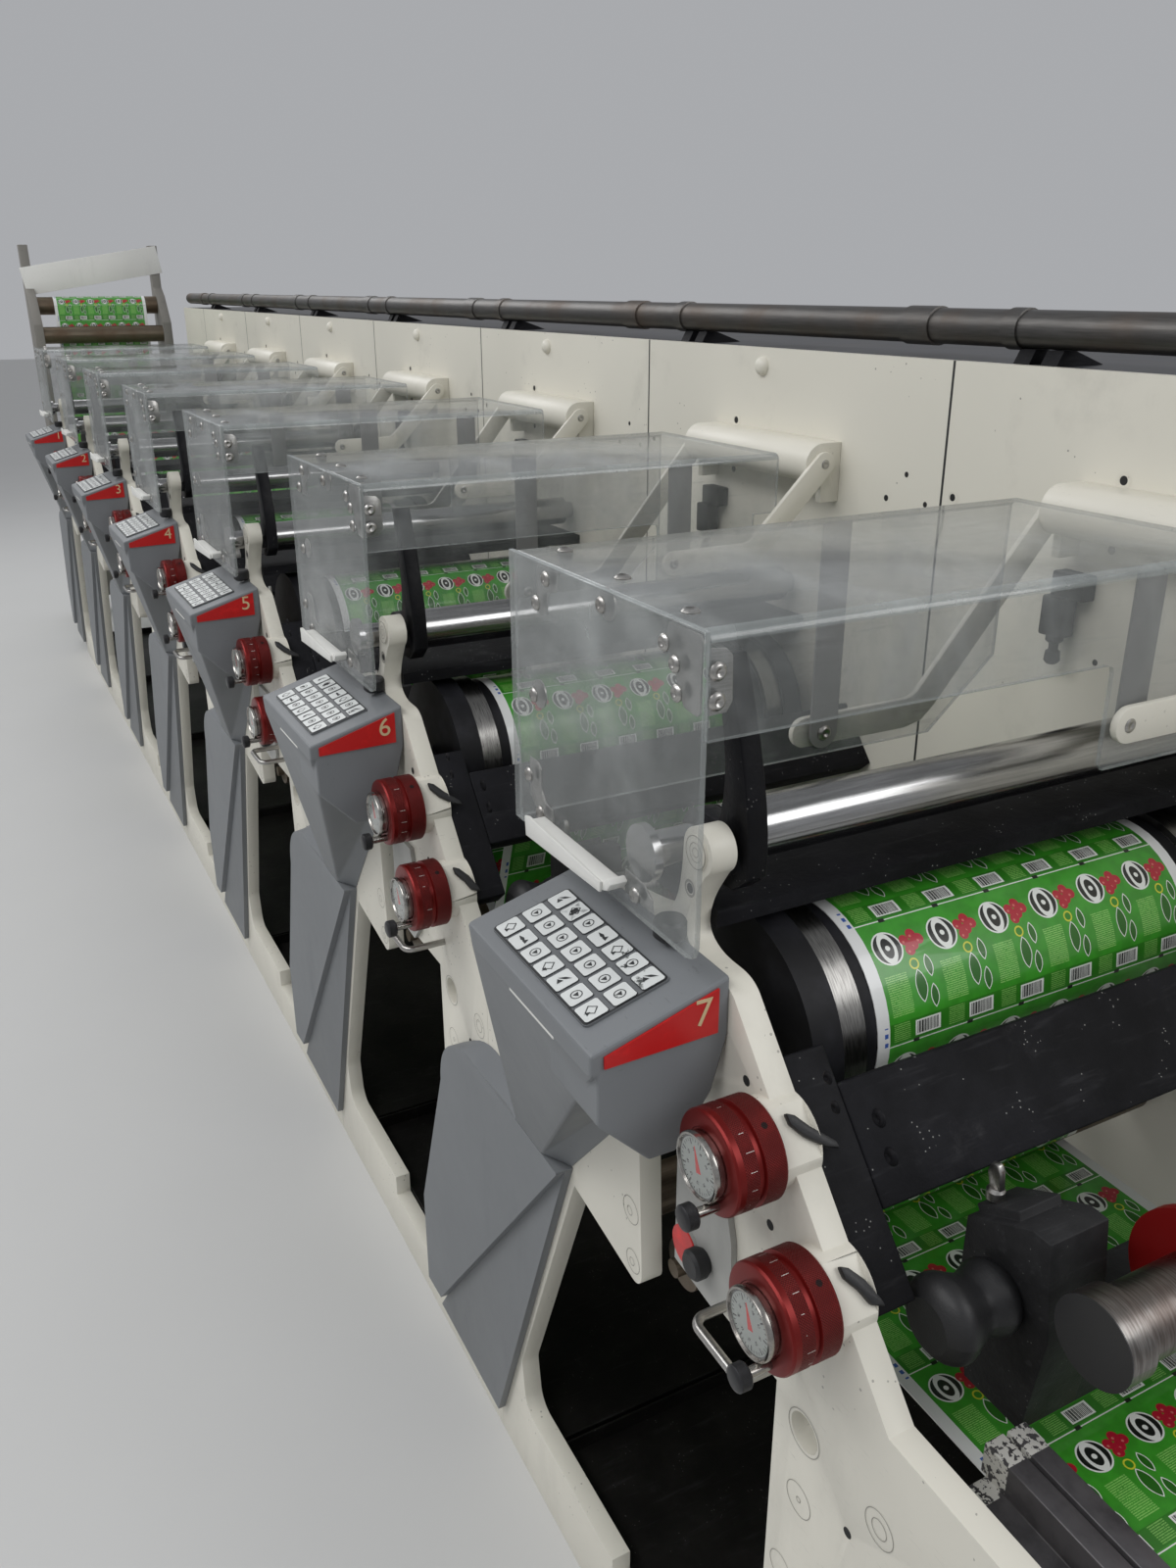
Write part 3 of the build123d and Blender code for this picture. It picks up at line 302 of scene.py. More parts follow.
def web_finish(name, film):
    """Green printed film: pale margins, round badges, leaves, berries and ruled lines in repeating cells."""
    f = Finish(name, Roughness=0.28, Coat_Weight=0.3)
    x, y, z = f.axes()
    local = ((x - at(DRUM_AT[0] - 400, 0, 0).x) / PITCH).calc("FRACT") * PITCH - 0.4
    rise = z - DRUM_AT[1] * MM
    radius = (local * local + rise * rise).calc("SQRT")
    on_drum = (radius - DRUM_WRAP).calc("ABSOLUTE") < 0.003
    round_way = rise.calc("ARCTAN2", local) * -DRUM_WRAP
    run = on_drum * round_way + (1.0 - on_drum) * (x - z)
    across = y - at(0, 156, 0).y
    margin = (across < 0.014) + (across > 0.406)
    wide, tall = 0.0653, 0.118
    u = ((across - 0.014) / wide).calc("FRACT")
    v = (run / tall).calc("FRACT")
    pu = u * wide * 1000.0
    pv = v * tall * 1000.0

    def disc(cu, cv, r, squash=1.0):
        du, dv = pu - cu, (pv - cv) * squash
        return (du * du + dv * dv) < (r * r)

    def leaf(cu, cv, r, half):
        return disc(cu - (r - half), cv, r) * disc(cu + (r - half), cv, r)

    def bar(u0, u1, v0, v1):
        return (pu > u0) * (pu < u1) * (pv > v0) * (pv < v1)

    white = (0.80, 0.82, 0.78, 1)
    pale = (0.30, 0.62, 0.16, 1)
    deep = tint(film, 0.45)
    berry = (0.42, 0.012, 0.03, 1)
    yellow = (0.62, 0.62, 0.04, 1)
    dark = (0.012, 0.014, 0.012, 1)
    text = ((pv * 0.5).calc("FRACT") < 0.5) * (f.noise(900.0, 1.0) > 0.40)
    stripes = ((pu * 0.62).calc("FRACT") < 0.5) + ((pu * 0.29).calc("FRACT") < 0.22)
    coats = [(bar(0, 66, 93, 113) * 0.6, deep), (bar(5, 30, 50, 88) * text * 0.9, pale),
             (bar(5, 24, 94, 112) * text * 0.7, pale)]
    for cu, cv, r, half in ((43, 66, 22, 6.6), (56, 78, 16, 4.8), (57, 50, 15, 4.6)):
        coats += [(leaf(cu, cv, r, half), white), (leaf(cu, cv, r - 1.0, half - 0.9), deep)]
    for r, squash, ink in ((16.5, 1.0, white), (14.8, 1.0, dark), (9.5, 0.62, white), (6.2, 0.62, dark),
                           (2.6, 1.0, white)):
        coats.append((disc(21, 25, r, squash), ink))
    for cu, cv in ((42, 22), (50, 28), (52, 18), (44, 32), (58, 24)):
        coats += [(disc(cu, cv, 5.4), berry), (disc(cu - 1.5, cv + 1.5, 1.3), (0.6, 0.16, 0.14, 1))]
    coats += [(disc(42, 45, 5.4), yellow), (disc(42, 45, 3.8), tint(film, 0.8)),
              (bar(30, 60, 95.5, 110.5), white), (bar(32, 58, 97, 109) * (stripes > 0.5), dark),
              (bar(0, 66, 114.4, 115.6), white), (bar(28, 35, 113.0, 117.0), dark)]
    colour = f.layers(f.shade(f.noise(60.0, 2.0), 0.3, 0.7, film, 0.9, 1.12), *coats)
    margin_mark = (across < 0.012) * (across > 0.008) * ((run / 0.009).calc("FRACT") < 0.5) * (v > 0.8)
    edge_colour = f.mix(margin_mark, (0.76, 0.77, 0.76, 1), (0.05, 0.12, 0.42, 1))
    return f.done(f.noise(14.0, 2.0), 0.1, 0.002, Base_Color=f.mix(margin.clamp(), colour, edge_colour))


def wall_finish(name, colour):
    """Cream sheet wall: seams, light dirt, specks, and ink low down."""
    f = Finish(name, Specular_IOR_Level=0.4)
    x, _, z = f.axes()
    along = ((x - at(-518, 0, 0).x) / PITCH).calc("FRACT") * PITCH
    seam = along < 0.0045
    broad = f.noise(1.6)
    dirt = f.noise(5.0, 6.0, 0.65).step(0.54, 0.78) * 0.35
    low = (0.75 - z).step(0.0, 0.55) * f.noise(3.5, 5.0).step(0.3, 0.7)
    specks = (f.cells(70.0) < 0.10) * (f.noise(9.0) > 0.58) * 0.6
    ink = (f.noise(2.4, 4.0, 0.6).step(0.60, 0.70)) * (z < INK_Z)
    base = f.shade(broad, 0.3, 0.7, colour, 0.97, 1.04)
    base = f.layers(base, ((dirt + (low * 0.5)).clamp(), tint(colour, 0.5)),
                    (ink * 0.8, (0.02, 0.018, 0.03, 1)), (specks, SPECK), (seam, SEAM))
    return f.done(f.noise(300.0, 2.0), 0.1, 0.0004, Base_Color=base, Roughness=0.4 + (dirt * 0.3))


def cabinet_finish(name, colour, dark):
    """Painted sides and a dark, dusty steel deck on top."""
    f = Finish(name)
    x, _, z = f.axes()
    deck = z > DECK_Z
    low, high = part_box("drive_cabinet")
    panel = (high.x - low.x) / 7
    seam = (((x - low.x + 0.002) / panel).calc("FRACT") < 0.004 / panel) * (1.0 - deck)
    broad = f.noise(1.8, 4.0)
    dust = f.noise(6.0, 6.0, 0.6).step(0.45, 0.8)
    paint = f.shade(broad, 0.3, 0.7, colour, 0.96, 1.04)
    paint = f.mix(dust * 0.18, paint, tint(colour, 0.55))
    plinth = f.mix(dust * 0.4, (0.03, 0.03, 0.032, 1), (0.12, 0.11, 0.10, 1))
    top = f.mix(dust * 0.6, tint(dark, 2.5), (0.16, 0.155, 0.15, 1))
    body = f.mix(z < PLINTH_Z, paint, plinth)
    return f.done(f.noise(260.0, 2.0), 0.1, 0.0004, Base_Color=f.layers(body, (deck, top), (seam, SEAM)),
                  Roughness=0.45 + (dust * 0.2))


def shaft_finish(name, steel):
    """Brown oily shaft with a dark end face and a red guard disc."""
    f = Finish(name)
    y = f.axes()[1]
    red = (y > at(0, 247.5, 0).y) * (y < at(0, 258.5, 0).y)
    face = y < at(0, 136.0, 0).y
    lines = f.noise(9.0, 4.0, 0.55, f.scaled((5.0, 60.0, 5.0)))
    film = f.noise(9.0, 5.0, 0.6).step(0.4, 0.75)
    base = f.shade(lines, 0.3, 0.7, steel, 0.30, 0.62)
    base = f.layers(base, (film * 0.6, (0.10, 0.055, 0.04, 1)), (face, (0.02, 0.02, 0.022, 1)),
                    (red, (0.17, 0.004, 0.004, 1)))
    return f.done(lines, 0.08, 0.0004, Base_Color=base, Metallic=1.0 - (red + face).clamp(),
                  Roughness=0.26 + (film * 0.2) + (red * 0.1))


def key_finish(name, colour):
    """White key film with blots of dried ink."""
    f = Finish(name, Roughness=0.4)
    smudge = f.noise(30.0, 5.0, 0.6).step(0.45, 0.8)
    blot = f.noise(75.0, 7.0, 0.7).step(0.60, 0.64) * f.noise(11.0).step(0.52, 0.58)
    base = f.layers(colour, (smudge * 0.35, tint(colour, 0.7)), (blot, (0.015, 0.02, 0.018, 1)))
    return f.done(f.noise(300.0, 2.0), 0.1, 0.0003, Base_Color=base)


# Shaping with the mesh tools
def deselect():
    if bpy.context.object and bpy.context.object.mode != "OBJECT":
        bpy.ops.object.mode_set(mode="OBJECT")
    bpy.ops.object.select_all(action="DESELECT")


def choose(*objs):
    deselect()
    for obj in objs:
        obj.select_set(True)
    bpy.context.view_layer.objects.active = objs[0]
    return objs[0]


def settle(obj):
    """Puts an object's place, turn and size into its mesh."""
    choose(obj)
    bpy.ops.object.transform_apply(location=True, rotation=True, scale=True)
    return obj


def edit(obj, select="SELECT"):
    choose(obj)
    bpy.ops.object.mode_set(mode="EDIT")
    bpy.ops.mesh.select_mode(type="FACE")
    bpy.ops.mesh.select_all(action=select)


def close_edit(obj, outwards=True):
    if outwards:
        bpy.ops.mesh.select_all(action="SELECT")
        bpy.ops.mesh.normals_make_consistent(inside=False)
    bpy.ops.object.mode_set(mode="OBJECT")
    return obj


def modify(obj, kind, **settings):
    """Adds a modifier and applies it."""
    choose(obj)
    modifier = obj.modifiers.new(kind.lower(), kind)
    for key, value in settings.items():
        setattr(modifier, key, value)
    bpy.ops.object.modifier_apply(modifier=modifier.name)
    return obj


def cut_away(obj, cutter):
    """Takes a cutter's volume out of an object and removes the cutter."""
    modify(obj, "BOOLEAN", operation="DIFFERENCE", object=cutter, solver="EXACT")
    bpy.data.objects.remove(cutter)


def soften(obj, width, segments=2, angle=35.0, curve=40.0):
    """Rounds the edges sharper than an angle, and shades what is curved smooth."""
    modify(obj, "BEVEL", width=width * MM, segments=segments, limit_method="ANGLE",
           angle_limit=radians(angle), use_clamp_overlap=True)
    return smooth(obj, curve)


def smooth(obj, angle=40.0):
    choose(obj)
    bpy.ops.object.shade_smooth_by_angle(angle=radians(angle))
    return obj


def flat(sides, radius, place=(0, 0, 0)):
    """Filled circle or polygon lying flat, with a radius in metres."""
    deselect()
    bpy.ops.mesh.primitive_circle_add(vertices=sides, radius=radius, fill_type="NGON", location=place)
    return bpy.context.object


def hollow(obj, border):
    """Cuts the middle out of a flat shape and leaves a border."""
    edit(obj)
    bpy.ops.mesh.inset(thickness=border)
    bpy.ops.mesh.delete(type="FACE")
    return close_edit(obj, outwards=False)


def faced(obj, origin, axis):
    """Moves an object to a place and turns its Z to an axis."""
    obj.rotation_euler = Vector(axis).to_track_quat("Z", "Y").to_euler()
    obj.location = at(*origin)
    return settle(obj)


def block(low, high, edge=0.0):
    """Block between two corners, in millimetres from the first boss."""
    deselect()
    low, high = at(*low), at(*high)
    bpy.ops.mesh.primitive_cube_add(size=1, location=(low + high) / 2)
    obj = bpy.context.object
    obj.scale = high - low
    settle(obj)
    return soften(obj, edge) if edge else obj


def turned(origin, axis, rings, sides=32):
    """Turned part: rings of distance along the axis and radius, closed at both ends."""
    here, radius = rings[0]
    obj = settle(flat(sides, radius * MM, (0, 0, here * MM)))
    edit(obj)
    for there, wide in rings[1:]:
        bpy.ops.mesh.extrude_region_move(TRANSFORM_OT_translate={"value": (0, 0, (there - here) * MM)})
        bpy.ops.transform.resize(value=(wide / radius, wide / radius, 1), center_override=(0, 0, there * MM))
        here, radius = there, wide
    return smooth(faced(close_edit(obj), origin, axis), 32.0)


def cut_plate(points, plane, near, far, edge=0.0):
    """Plate cut to an outline of (x, z) points across y, or of (y, z) points across x."""
    obj = settle(flat(len(points), 1))
    for vertex, (a, b) in zip(obj.data.vertices, points):
        vertex.co = at(a, near, b) if plane == "y" else at(near, a, b)
    depth = (far - near) * MM
    edit(obj)
    move = (0, depth, 0) if plane == "y" else (depth, 0, 0)
    bpy.ops.mesh.extrude_region_move(TRANSFORM_OT_translate={"value": move})
    close_edit(obj)
    return soften(obj, edge) if edge else smooth(obj)


def round_strip(path, half, steps=9):
    """Outline of a flat bar with round ends laid along a path of points."""
    path = [Vector(point) for point in path]
    left, right = [], []
    for before, here, after in zip(path[:1] + path, path, path[1:] + path[-1:]):
        ahead = (after - before).normalized()
        bend = ahead.dot((here - before).normalized()) if here != before else 1.0
        side = Vector((-ahead.y, ahead.x)) * (half / max(0.5, bend))
        left.append(here + side)
        right.append(here - side)

    def cap(centre, edge):
        start = atan2((edge - centre).y, (edge - centre).x)
        turns = [start - pi * k / steps for k in range(1, steps)]
        return [centre + Vector((cos(turn), sin(turn))) * half for turn in turns]

    return left + cap(path[-1], left[-1]) + right[::-1] + cap(path[0], right[0])


def bolt(place, axis, r, high, sides=16):
    """Button-headed bolt with a round recess, seated at a place."""
    profile = [(0, r), (high * 0.25, r), (high * 0.75, r * 0.78), (high, r * 0.48)]
    head = turned(place, axis, profile, sides)
    edit(head, "DESELECT")
    close_edit(head, outwards=False)
    caps = [face for face in head.data.polygons if len(face.vertices) == sides]
    max(caps, key=lambda face: face.center.dot(Vector(axis))).select = True
    bpy.ops.object.mode_set(mode="EDIT")
    bpy.ops.mesh.inset(thickness=r * 0.12 * MM, depth=-high * 0.55 * MM)
    return close_edit(head, outwards=False)


def bolts(places, axis, r, high):
    """One bolt copied to every place."""
    first = bolt(places[0], axis, r, high)
    here = Vector(places[0])
    return joined([first] + [shifted(first, *(Vector(p) - here)) for p in places[1:]])


def joined(objs):
    choose(*objs)
    if len(objs) > 1:
        bpy.ops.object.join()
    return bpy.context.object


def shifted(obj, x=0.0, y=0.0, z=0.0):
    """Copy with its own mesh, moved by millimetres."""
    twin = obj.copy()
    twin.data = obj.data.copy()
    twin.data.transform(Matrix.Translation(Vector((x, y, z)) * MM))
    bpy.context.scene.collection.objects.link(twin)
    return twin


def along_line(obj):
    """The piece of the first unit together with its copies in the other units."""
    return joined([obj] + [shifted(obj, PITCH_MM * n) for n in range(1, UNITS)])


def place(obj, name, finish, body, slot, replaces=()):
    """Names a finished piece, gives it its finish, ties it to its body and hides the CAD nodes it replaces. The
    slot is not used.
    """
    obj.name = name
    obj.data.name = name
    obj.data.materials.clear()
    obj.data.materials.append(finishes[finish])
    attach(obj, body)
    if replaces:
        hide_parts(*replaces)
    return obj


def on_frame(pieces, name, finish, slot, replaces=()):
    """Pieces of the first unit made one, repeated in every unit and fixed to the frame."""
    return place(along_line(joined(pieces)), name, finish, "frame", slot, replaces)


def wrap_uv(obj, centre):
    """UV map that follows a turned surface: turns about an axis along y, and millimetres along it."""
    layer = obj.data.uv_layers.active
    layer.name = "around"
    middle = at(*centre)
    for face in obj.data.polygons:
        base = atan2(face.center.z - middle.z, face.center.x - middle.x)
        for loop in face.loop_indices:
            co = obj.data.vertices[obj.data.loops[loop].vertex_index].co
            angle = atan2(co.z - middle.z, co.x - middle.x)
            angle += round((base - angle) / tau) * tau
            layer.data[loop].uv = (angle / tau, (co.y - middle.y) / MM)
    return obj


def dial_face(x, y, z, r):
    """Flat round face towards the aisle, with a UV map that runs from -1 to 1 across it."""
    face = faced(flat(40, r * MM), (x, y, z), AISLE)
    layer = face.data.uv_layers.active
    layer.name = "around"
    for loop in face.data.loops:
        co = face.data.vertices[loop.vertex_index].co - at(x, y, z)
        layer.data[loop.index].uv = (co.x / (r * MM), co.z / (r * MM))
    return face


# Nodes of folded sheet, which keep crisp facets
FOLDED = ("consoles", "skirt_covers")


def dressed_copy(node, width, cutter=None):
    """Copy of a CAD node with rounded edges, trimmed by a cutter if there is one."""
    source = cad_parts[node]
    twin = source.copy()
    twin.data = source.data.copy()
    twin.parent = None
    bpy.context.scene.collection.objects.link(twin)
    for key in list(twin.keys()):
        del twin[key]
    edit(twin)
    bpy.ops.mesh.remove_doubles(threshold=0.00002)
    bpy.ops.mesh.dissolve_limited(angle_limit=radians(0.6))
    close_edit(twin, outwards=False)
    if cutter:
        cut_away(twin, cutter)
    return soften(twin, width, angle=12.0, curve=20.0) if node in FOLDED else soften(twin, width)


def knurled(name, colour, turns=120.0, pitch=0.42, bands=((2.4, 20.6), (27.6, 40.0)), ticks=True):
    """Turned grip with diamond knurling in bands, and pale index lines beside the groove."""
    f = Finish(name, Metallic=0.6)
    u, v = f.wrapped()
    v = v * -1.0
    one = ((u * turns) + (v * pitch)).calc("FRACT") - 0.5
    two = ((u * turns) - (v * pitch)).calc("FRACT") - 0.5
    cut = one.calc("ABSOLUTE") + two.calc("ABSOLUTE")
    band = sum((v > low) * (v < high) for low, high in bands)
    rub = f.noise(60.0, 5.0, 0.6).step(0.45, 0.75)
    # Painted shade: the knurled bands are darkened along the diamond pattern, standing in for the shade in the
    # grooves of the knurling; the bump gives the relief.
    base = f.mix(band * cut, tint(colour, 1.25), tint(colour, 0.34))
    base = f.mix(rub * 0.25, base, tint(colour, 1.9))
    if ticks:
        line = ((u * 18.0).calc("FRACT") < 0.03) * (v > 28.0) * (v < 35.5)
        base = f.mix(line * (f.noise(40.0) > 0.5), base, (0.75, 0.7, 0.66, 1))
        spot_u = ((u * 3.0).calc("FRACT") - 0.5) * 93.0
        spot_v = v - 11.0
        base = f.mix((spot_u * spot_u + spot_v * spot_v) < 8.0, base, (0.012, 0.004, 0.004, 1))
    return f.done(cut * band, 0.6, 0.0008, Base_Color=base, Roughness=0.38 + (band * 0.12))


def dial_finish(name):
    """Pale dial with tick marks and a red needle."""
    f = Finish(name, Roughness=0.25, Coat_Weight=0.6)
    u, v = f.wrapped()
    r = (u * u + v * v).calc("SQRT")
    angle = v.calc("ARCTAN2", u) * (1 / tau)
    tick = ((angle * 36.0).calc("FRACT") < 0.22) * (r > 0.80) * (r < 0.90)
    major = ((angle * 9.0).calc("FRACT") < 0.10) * (r > 0.70) * (r < 0.90)
    figures = ((angle * 9.0 + 0.3).calc("FRACT") < 0.32) * (r > 0.50) * (r < 0.62)
    figures = figures * (f.noise(900.0, 1.0) > 0.47)
    a = (u * -0.34) + (v * 0.94)
    b = (u * 0.94) + (v * 0.34)
    needle = (a > -0.22) * (a < 0.66) * (b.calc("ABSOLUTE") < (0.11 - (a * 0.13)))
    base = f.layers((0.27, 0.29, 0.27, 1), ((tick + major + figures).clamp(), (0.02, 0.02, 0.02, 1)),
                    (needle, (0.45, 0.015, 0.012, 1)), (r > 0.95, (0.10, 0.10, 0.10, 1)))
    f.set(Base_Color=base)
    return f.material


def rail_finish(name):
    """Grey oily rails whose near ends are spattered pale."""
    f = Finish(name, Metallic=0.35)
    local = ((f.axes()[0] - at(295, 0, 0).x) / PITCH).calc("FRACT") * PITCH_MM
    spatter = (local < 26.0) * (f.noise(190.0, 3.0, 0.6) > 0.47)
    film = f.noise(20.0, 5.0, 0.6).step(0.4, 0.75)
    base = f.mix(film, (0.10, 0.095, 0.10, 1), (0.03, 0.028, 0.03, 1))
    return f.done(f.noise(160.0), 0.15, 0.0006, Base_Color=f.mix(spatter, base, (0.62, 0.61, 0.57, 1)),
                  Roughness=0.3 + (film * 0.25) + (spatter * 0.3))


finishes = {}


def make_finishes(c):
    cream, grey, black, steel = tuple(c.cream), tuple(c.grey), tuple(c.black), tuple(c.steel)
    finishes.update({
        "cream": painted("cream_paint", cream, 0.35, 0.38, 0.45),
        "cream_clean": painted("cream_fittings", cream, 0.2, 0.36, 0.2),
        "grey": painted("console_grey", grey, 0.22, 0.45, 0.12),
        "pale_grey": painted("bracket_grey", (0.36, 0.36, 0.34, 1), 0.5, 0.45, 0.5),
        "wall": wall_finish("drive_wall_paint", cream),
        "cabinet": cabinet_finish("cabinet_paint", cream, black),
        "black": worn_black("black_steel", black, 0.35, 0.48, 0.5),
        "crust": worn_black("ink_crusted_steel", black, 0.6, 0.55, 0.7),
        "arm_black": worn_black("gloss_black_arm", black, 0.15, 0.3, 0.3),
        "steel": bare_steel("bare_steel", steel, 0.24, 0.25),
        "dark_steel": bare_steel("oily_steel", (0.24, 0.225, 0.21, 1), 0.34, 0.6),
        "pipe": bare_steel("dark_pipe", (0.13, 0.125, 0.12, 1), 0.36, 0.5, (2.0, 40.0, 40.0)),
        "chrome": bare_steel("chrome_roller", (0.42, 0.42, 0.42, 1), 0.13, 0.15, (30.0, 1.0, 30.0)),
        "brown": bare_steel("brown_roller", (0.17, 0.14, 0.105, 1), 0.4, 0.7),
        "shaft": shaft_finish("shaft_steel", steel),
        "drum": drum_finish("drum_parts", black, steel),
        "web": web_finish("printed_film", tuple(c.film)),
        "key": key_finish("key_film", (0.66, 0.68, 0.67, 1)),
        "panel": painted("panel_film", tint(grey, 0.72), 0.3, 0.4, 0.1),
        "pan": worn_black("inky_pan", (0.007, 0.0065, 0.006, 1), 0.3, 0.34, 0.15),
        "stand": painted("stand_grey", (0.21, 0.20, 0.18, 1), 0.8, 0.5, 0.6),
        "red": plastic("red_plate", tuple(c.sign_red), 0.25, 0.02),
        "handle": plastic("black_plastic", (0.012, 0.012, 0.013, 1), 0.42, 0.5),
        "sheet": painted("sign_white", (0.74, 0.735, 0.70, 1), 0.4, 0.5, 0.2),
        "clear": clear_sheet("clear_hood", tuple(c.clear), 0.10, 0.26),
        # Cut edges and bends of the hoods: the tint seen through the sheet's thickness, and a painted highlight
        # along them.
        "clear_edge": clear_sheet("clear_hood_edge", (0.30, 0.325, 0.32, 1), 0.42, 0.2),
        "strap": painted("strap_grey", (0.24, 0.24, 0.235, 1), 0.4, 0.4, 0.3),
        "knurl": knurled("red_grip", tuple(c.red)),
        "cap_grip": knurled("black_cap", (0.03, 0.03, 0.032, 1), 34.0, 0.9, ((2.6, 11.4),), False),
        "dial": dial_finish("gauge_dial"),
        "polish": bare_steel("polished_case", (0.40, 0.385, 0.36, 1), 0.16, 0.3, (20.0, 20.0, 20.0)),
        "casting": worn_black("grey_casting", (0.020, 0.020, 0.021, 1), 0.7, 0.46, 0.2),
        "rail": rail_finish("slide_rail_steel"),
        "cream_mark": painted("scribed_marks", tint(cream, 0.42), 0.3, 0.5, 0.2),
        # Painted shade: near-black discs stand for the shade inside the drilled holes of plates and wall.
        "hole": plastic("dark_hole", (0.012, 0.012, 0.012, 1), 0.7, 0.05),
        "ink": plastic("key_ink", (0.015, 0.016, 0.018, 1), 0.45, 0.02),
        "digit": plastic("number_cream", (0.62, 0.47, 0.27, 1), 0.4, 0.02),
    })


CAD_FINISH = {
    "side_plates": "cream", "consoles": "grey", "keypads": "key", "number_plates": "red",
    "skirt_covers": "grey", "bracket_plates": "pale_grey", "wire_handles": "steel",
    "slide_arms": "black", "ink_beams": "crust",
    "roller_arms": "arm_black", "under_trays": "crust", "carriages": "casting", "ball_handles": "handle",
    "slide_rails": "rail", "cross_shafts": "shaft", "hinge_blocks": "cream_clean", "drive_wall": "wall",
    "drive_cabinet": "cabinet", "top_pipe": "pipe", "pipe_saddles": "black", "web": "web",
    "web_rollers": "brown",
    "infeed_stand": "stand", "sign_plate": "sheet", "drip_pans": "pan", "hood": "clear", "drum": "drum",
    "chrome_roller": "chrome", "knob_upper": "red", "knob_lower": "red",
}

# Nodes whose edges are rounded: width of the rounding and slot
ROUNDED = {
    "side_plates": (1.6, "cream_paint"), "consoles": (2.6, "grey_paint"),
    "skirt_covers": (1.6, "grey_paint"), "hinge_blocks": (1.6, "cream_paint"),
    "slide_arms": (1.6, "black_steel"), "ink_beams": (2.0, "black_steel"),
    "carriages": (1.4, "black_steel"), "roller_arms": (1.4, "black_steel"),
    "infeed_stand": (1.6, "cream_paint"), "slide_rails": (1.2, "dark_steel"),
}


class PRESS_OT_finish(bpy.types.Operator):
    """Give every part of the press its paint, steel or film"""
    bl_idname = "press.finish"
    bl_label = "Finishes"

    def execute(self, context):
        make_finishes(context.scene.press_colours)
        for name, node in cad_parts.items():
            stem = name if name in CAD_FINISH else name[:name.rindex("_")]
            node.data.materials.clear()
            node.data.materials.append(finishes[CAD_FINISH[stem]])
        return {"FINISHED"}


def on_slope(along, outward):
    """Place in x and z, measured down the slanted edge of a side plate and out from it."""
    c, s = cos(SLOPE), sin(SLOPE)
    return SLOPE_TOP[0] + c * along + s * outward, SLOPE_TOP[1] - s * along + c * outward


def per_unit(obj, name, finish, body, slot, replace=False):
    """One copy of the first unit's piece on the moving body of every unit."""
    for n in range(1, UNITS + 1):
        piece = obj if n == 1 else shifted(obj, PITCH_MM * (n - 1))
        stem = f"{body}_{n}"
        place(piece, f"{name}_{n}", finish, stem + "_body", slot, (stem,) if replace else ())
        if finish == "clear":
            edge_finish(piece)


def edge_finish(sheet):
    """Gives the narrow cut faces and bends of a clear sheet their own, denser finish: partly the sheet's tint
    seen through its thickness, partly a painted highlight along the edges.
    """
    sheet.data.materials.append(finishes["clear_edge"])
    corners = sheet.data.vertices
    for face in sheet.data.polygons:
        rim = sum((corners[a].co - corners[b].co).length for a, b in face.edge_keys)
        face.material_index = int(2 * face.area / rim < NARROW)


def dark_hole(x, y, z, r, sides):
    """Dark disc that stands for a small drilled hole: painted shade where the inside of the hole would be."""
    return turned((x, y, z), AISLE, [(0, r), (0.2, r)], sides)


def ring_mark(x, y, z, r, border, sides=32):
    """Thin flat ring lying on a face that looks at the aisle."""
    return faced(hollow(flat(sides, r * MM), border * MM), (x, y - MARK_LIFT, z), AISLE)


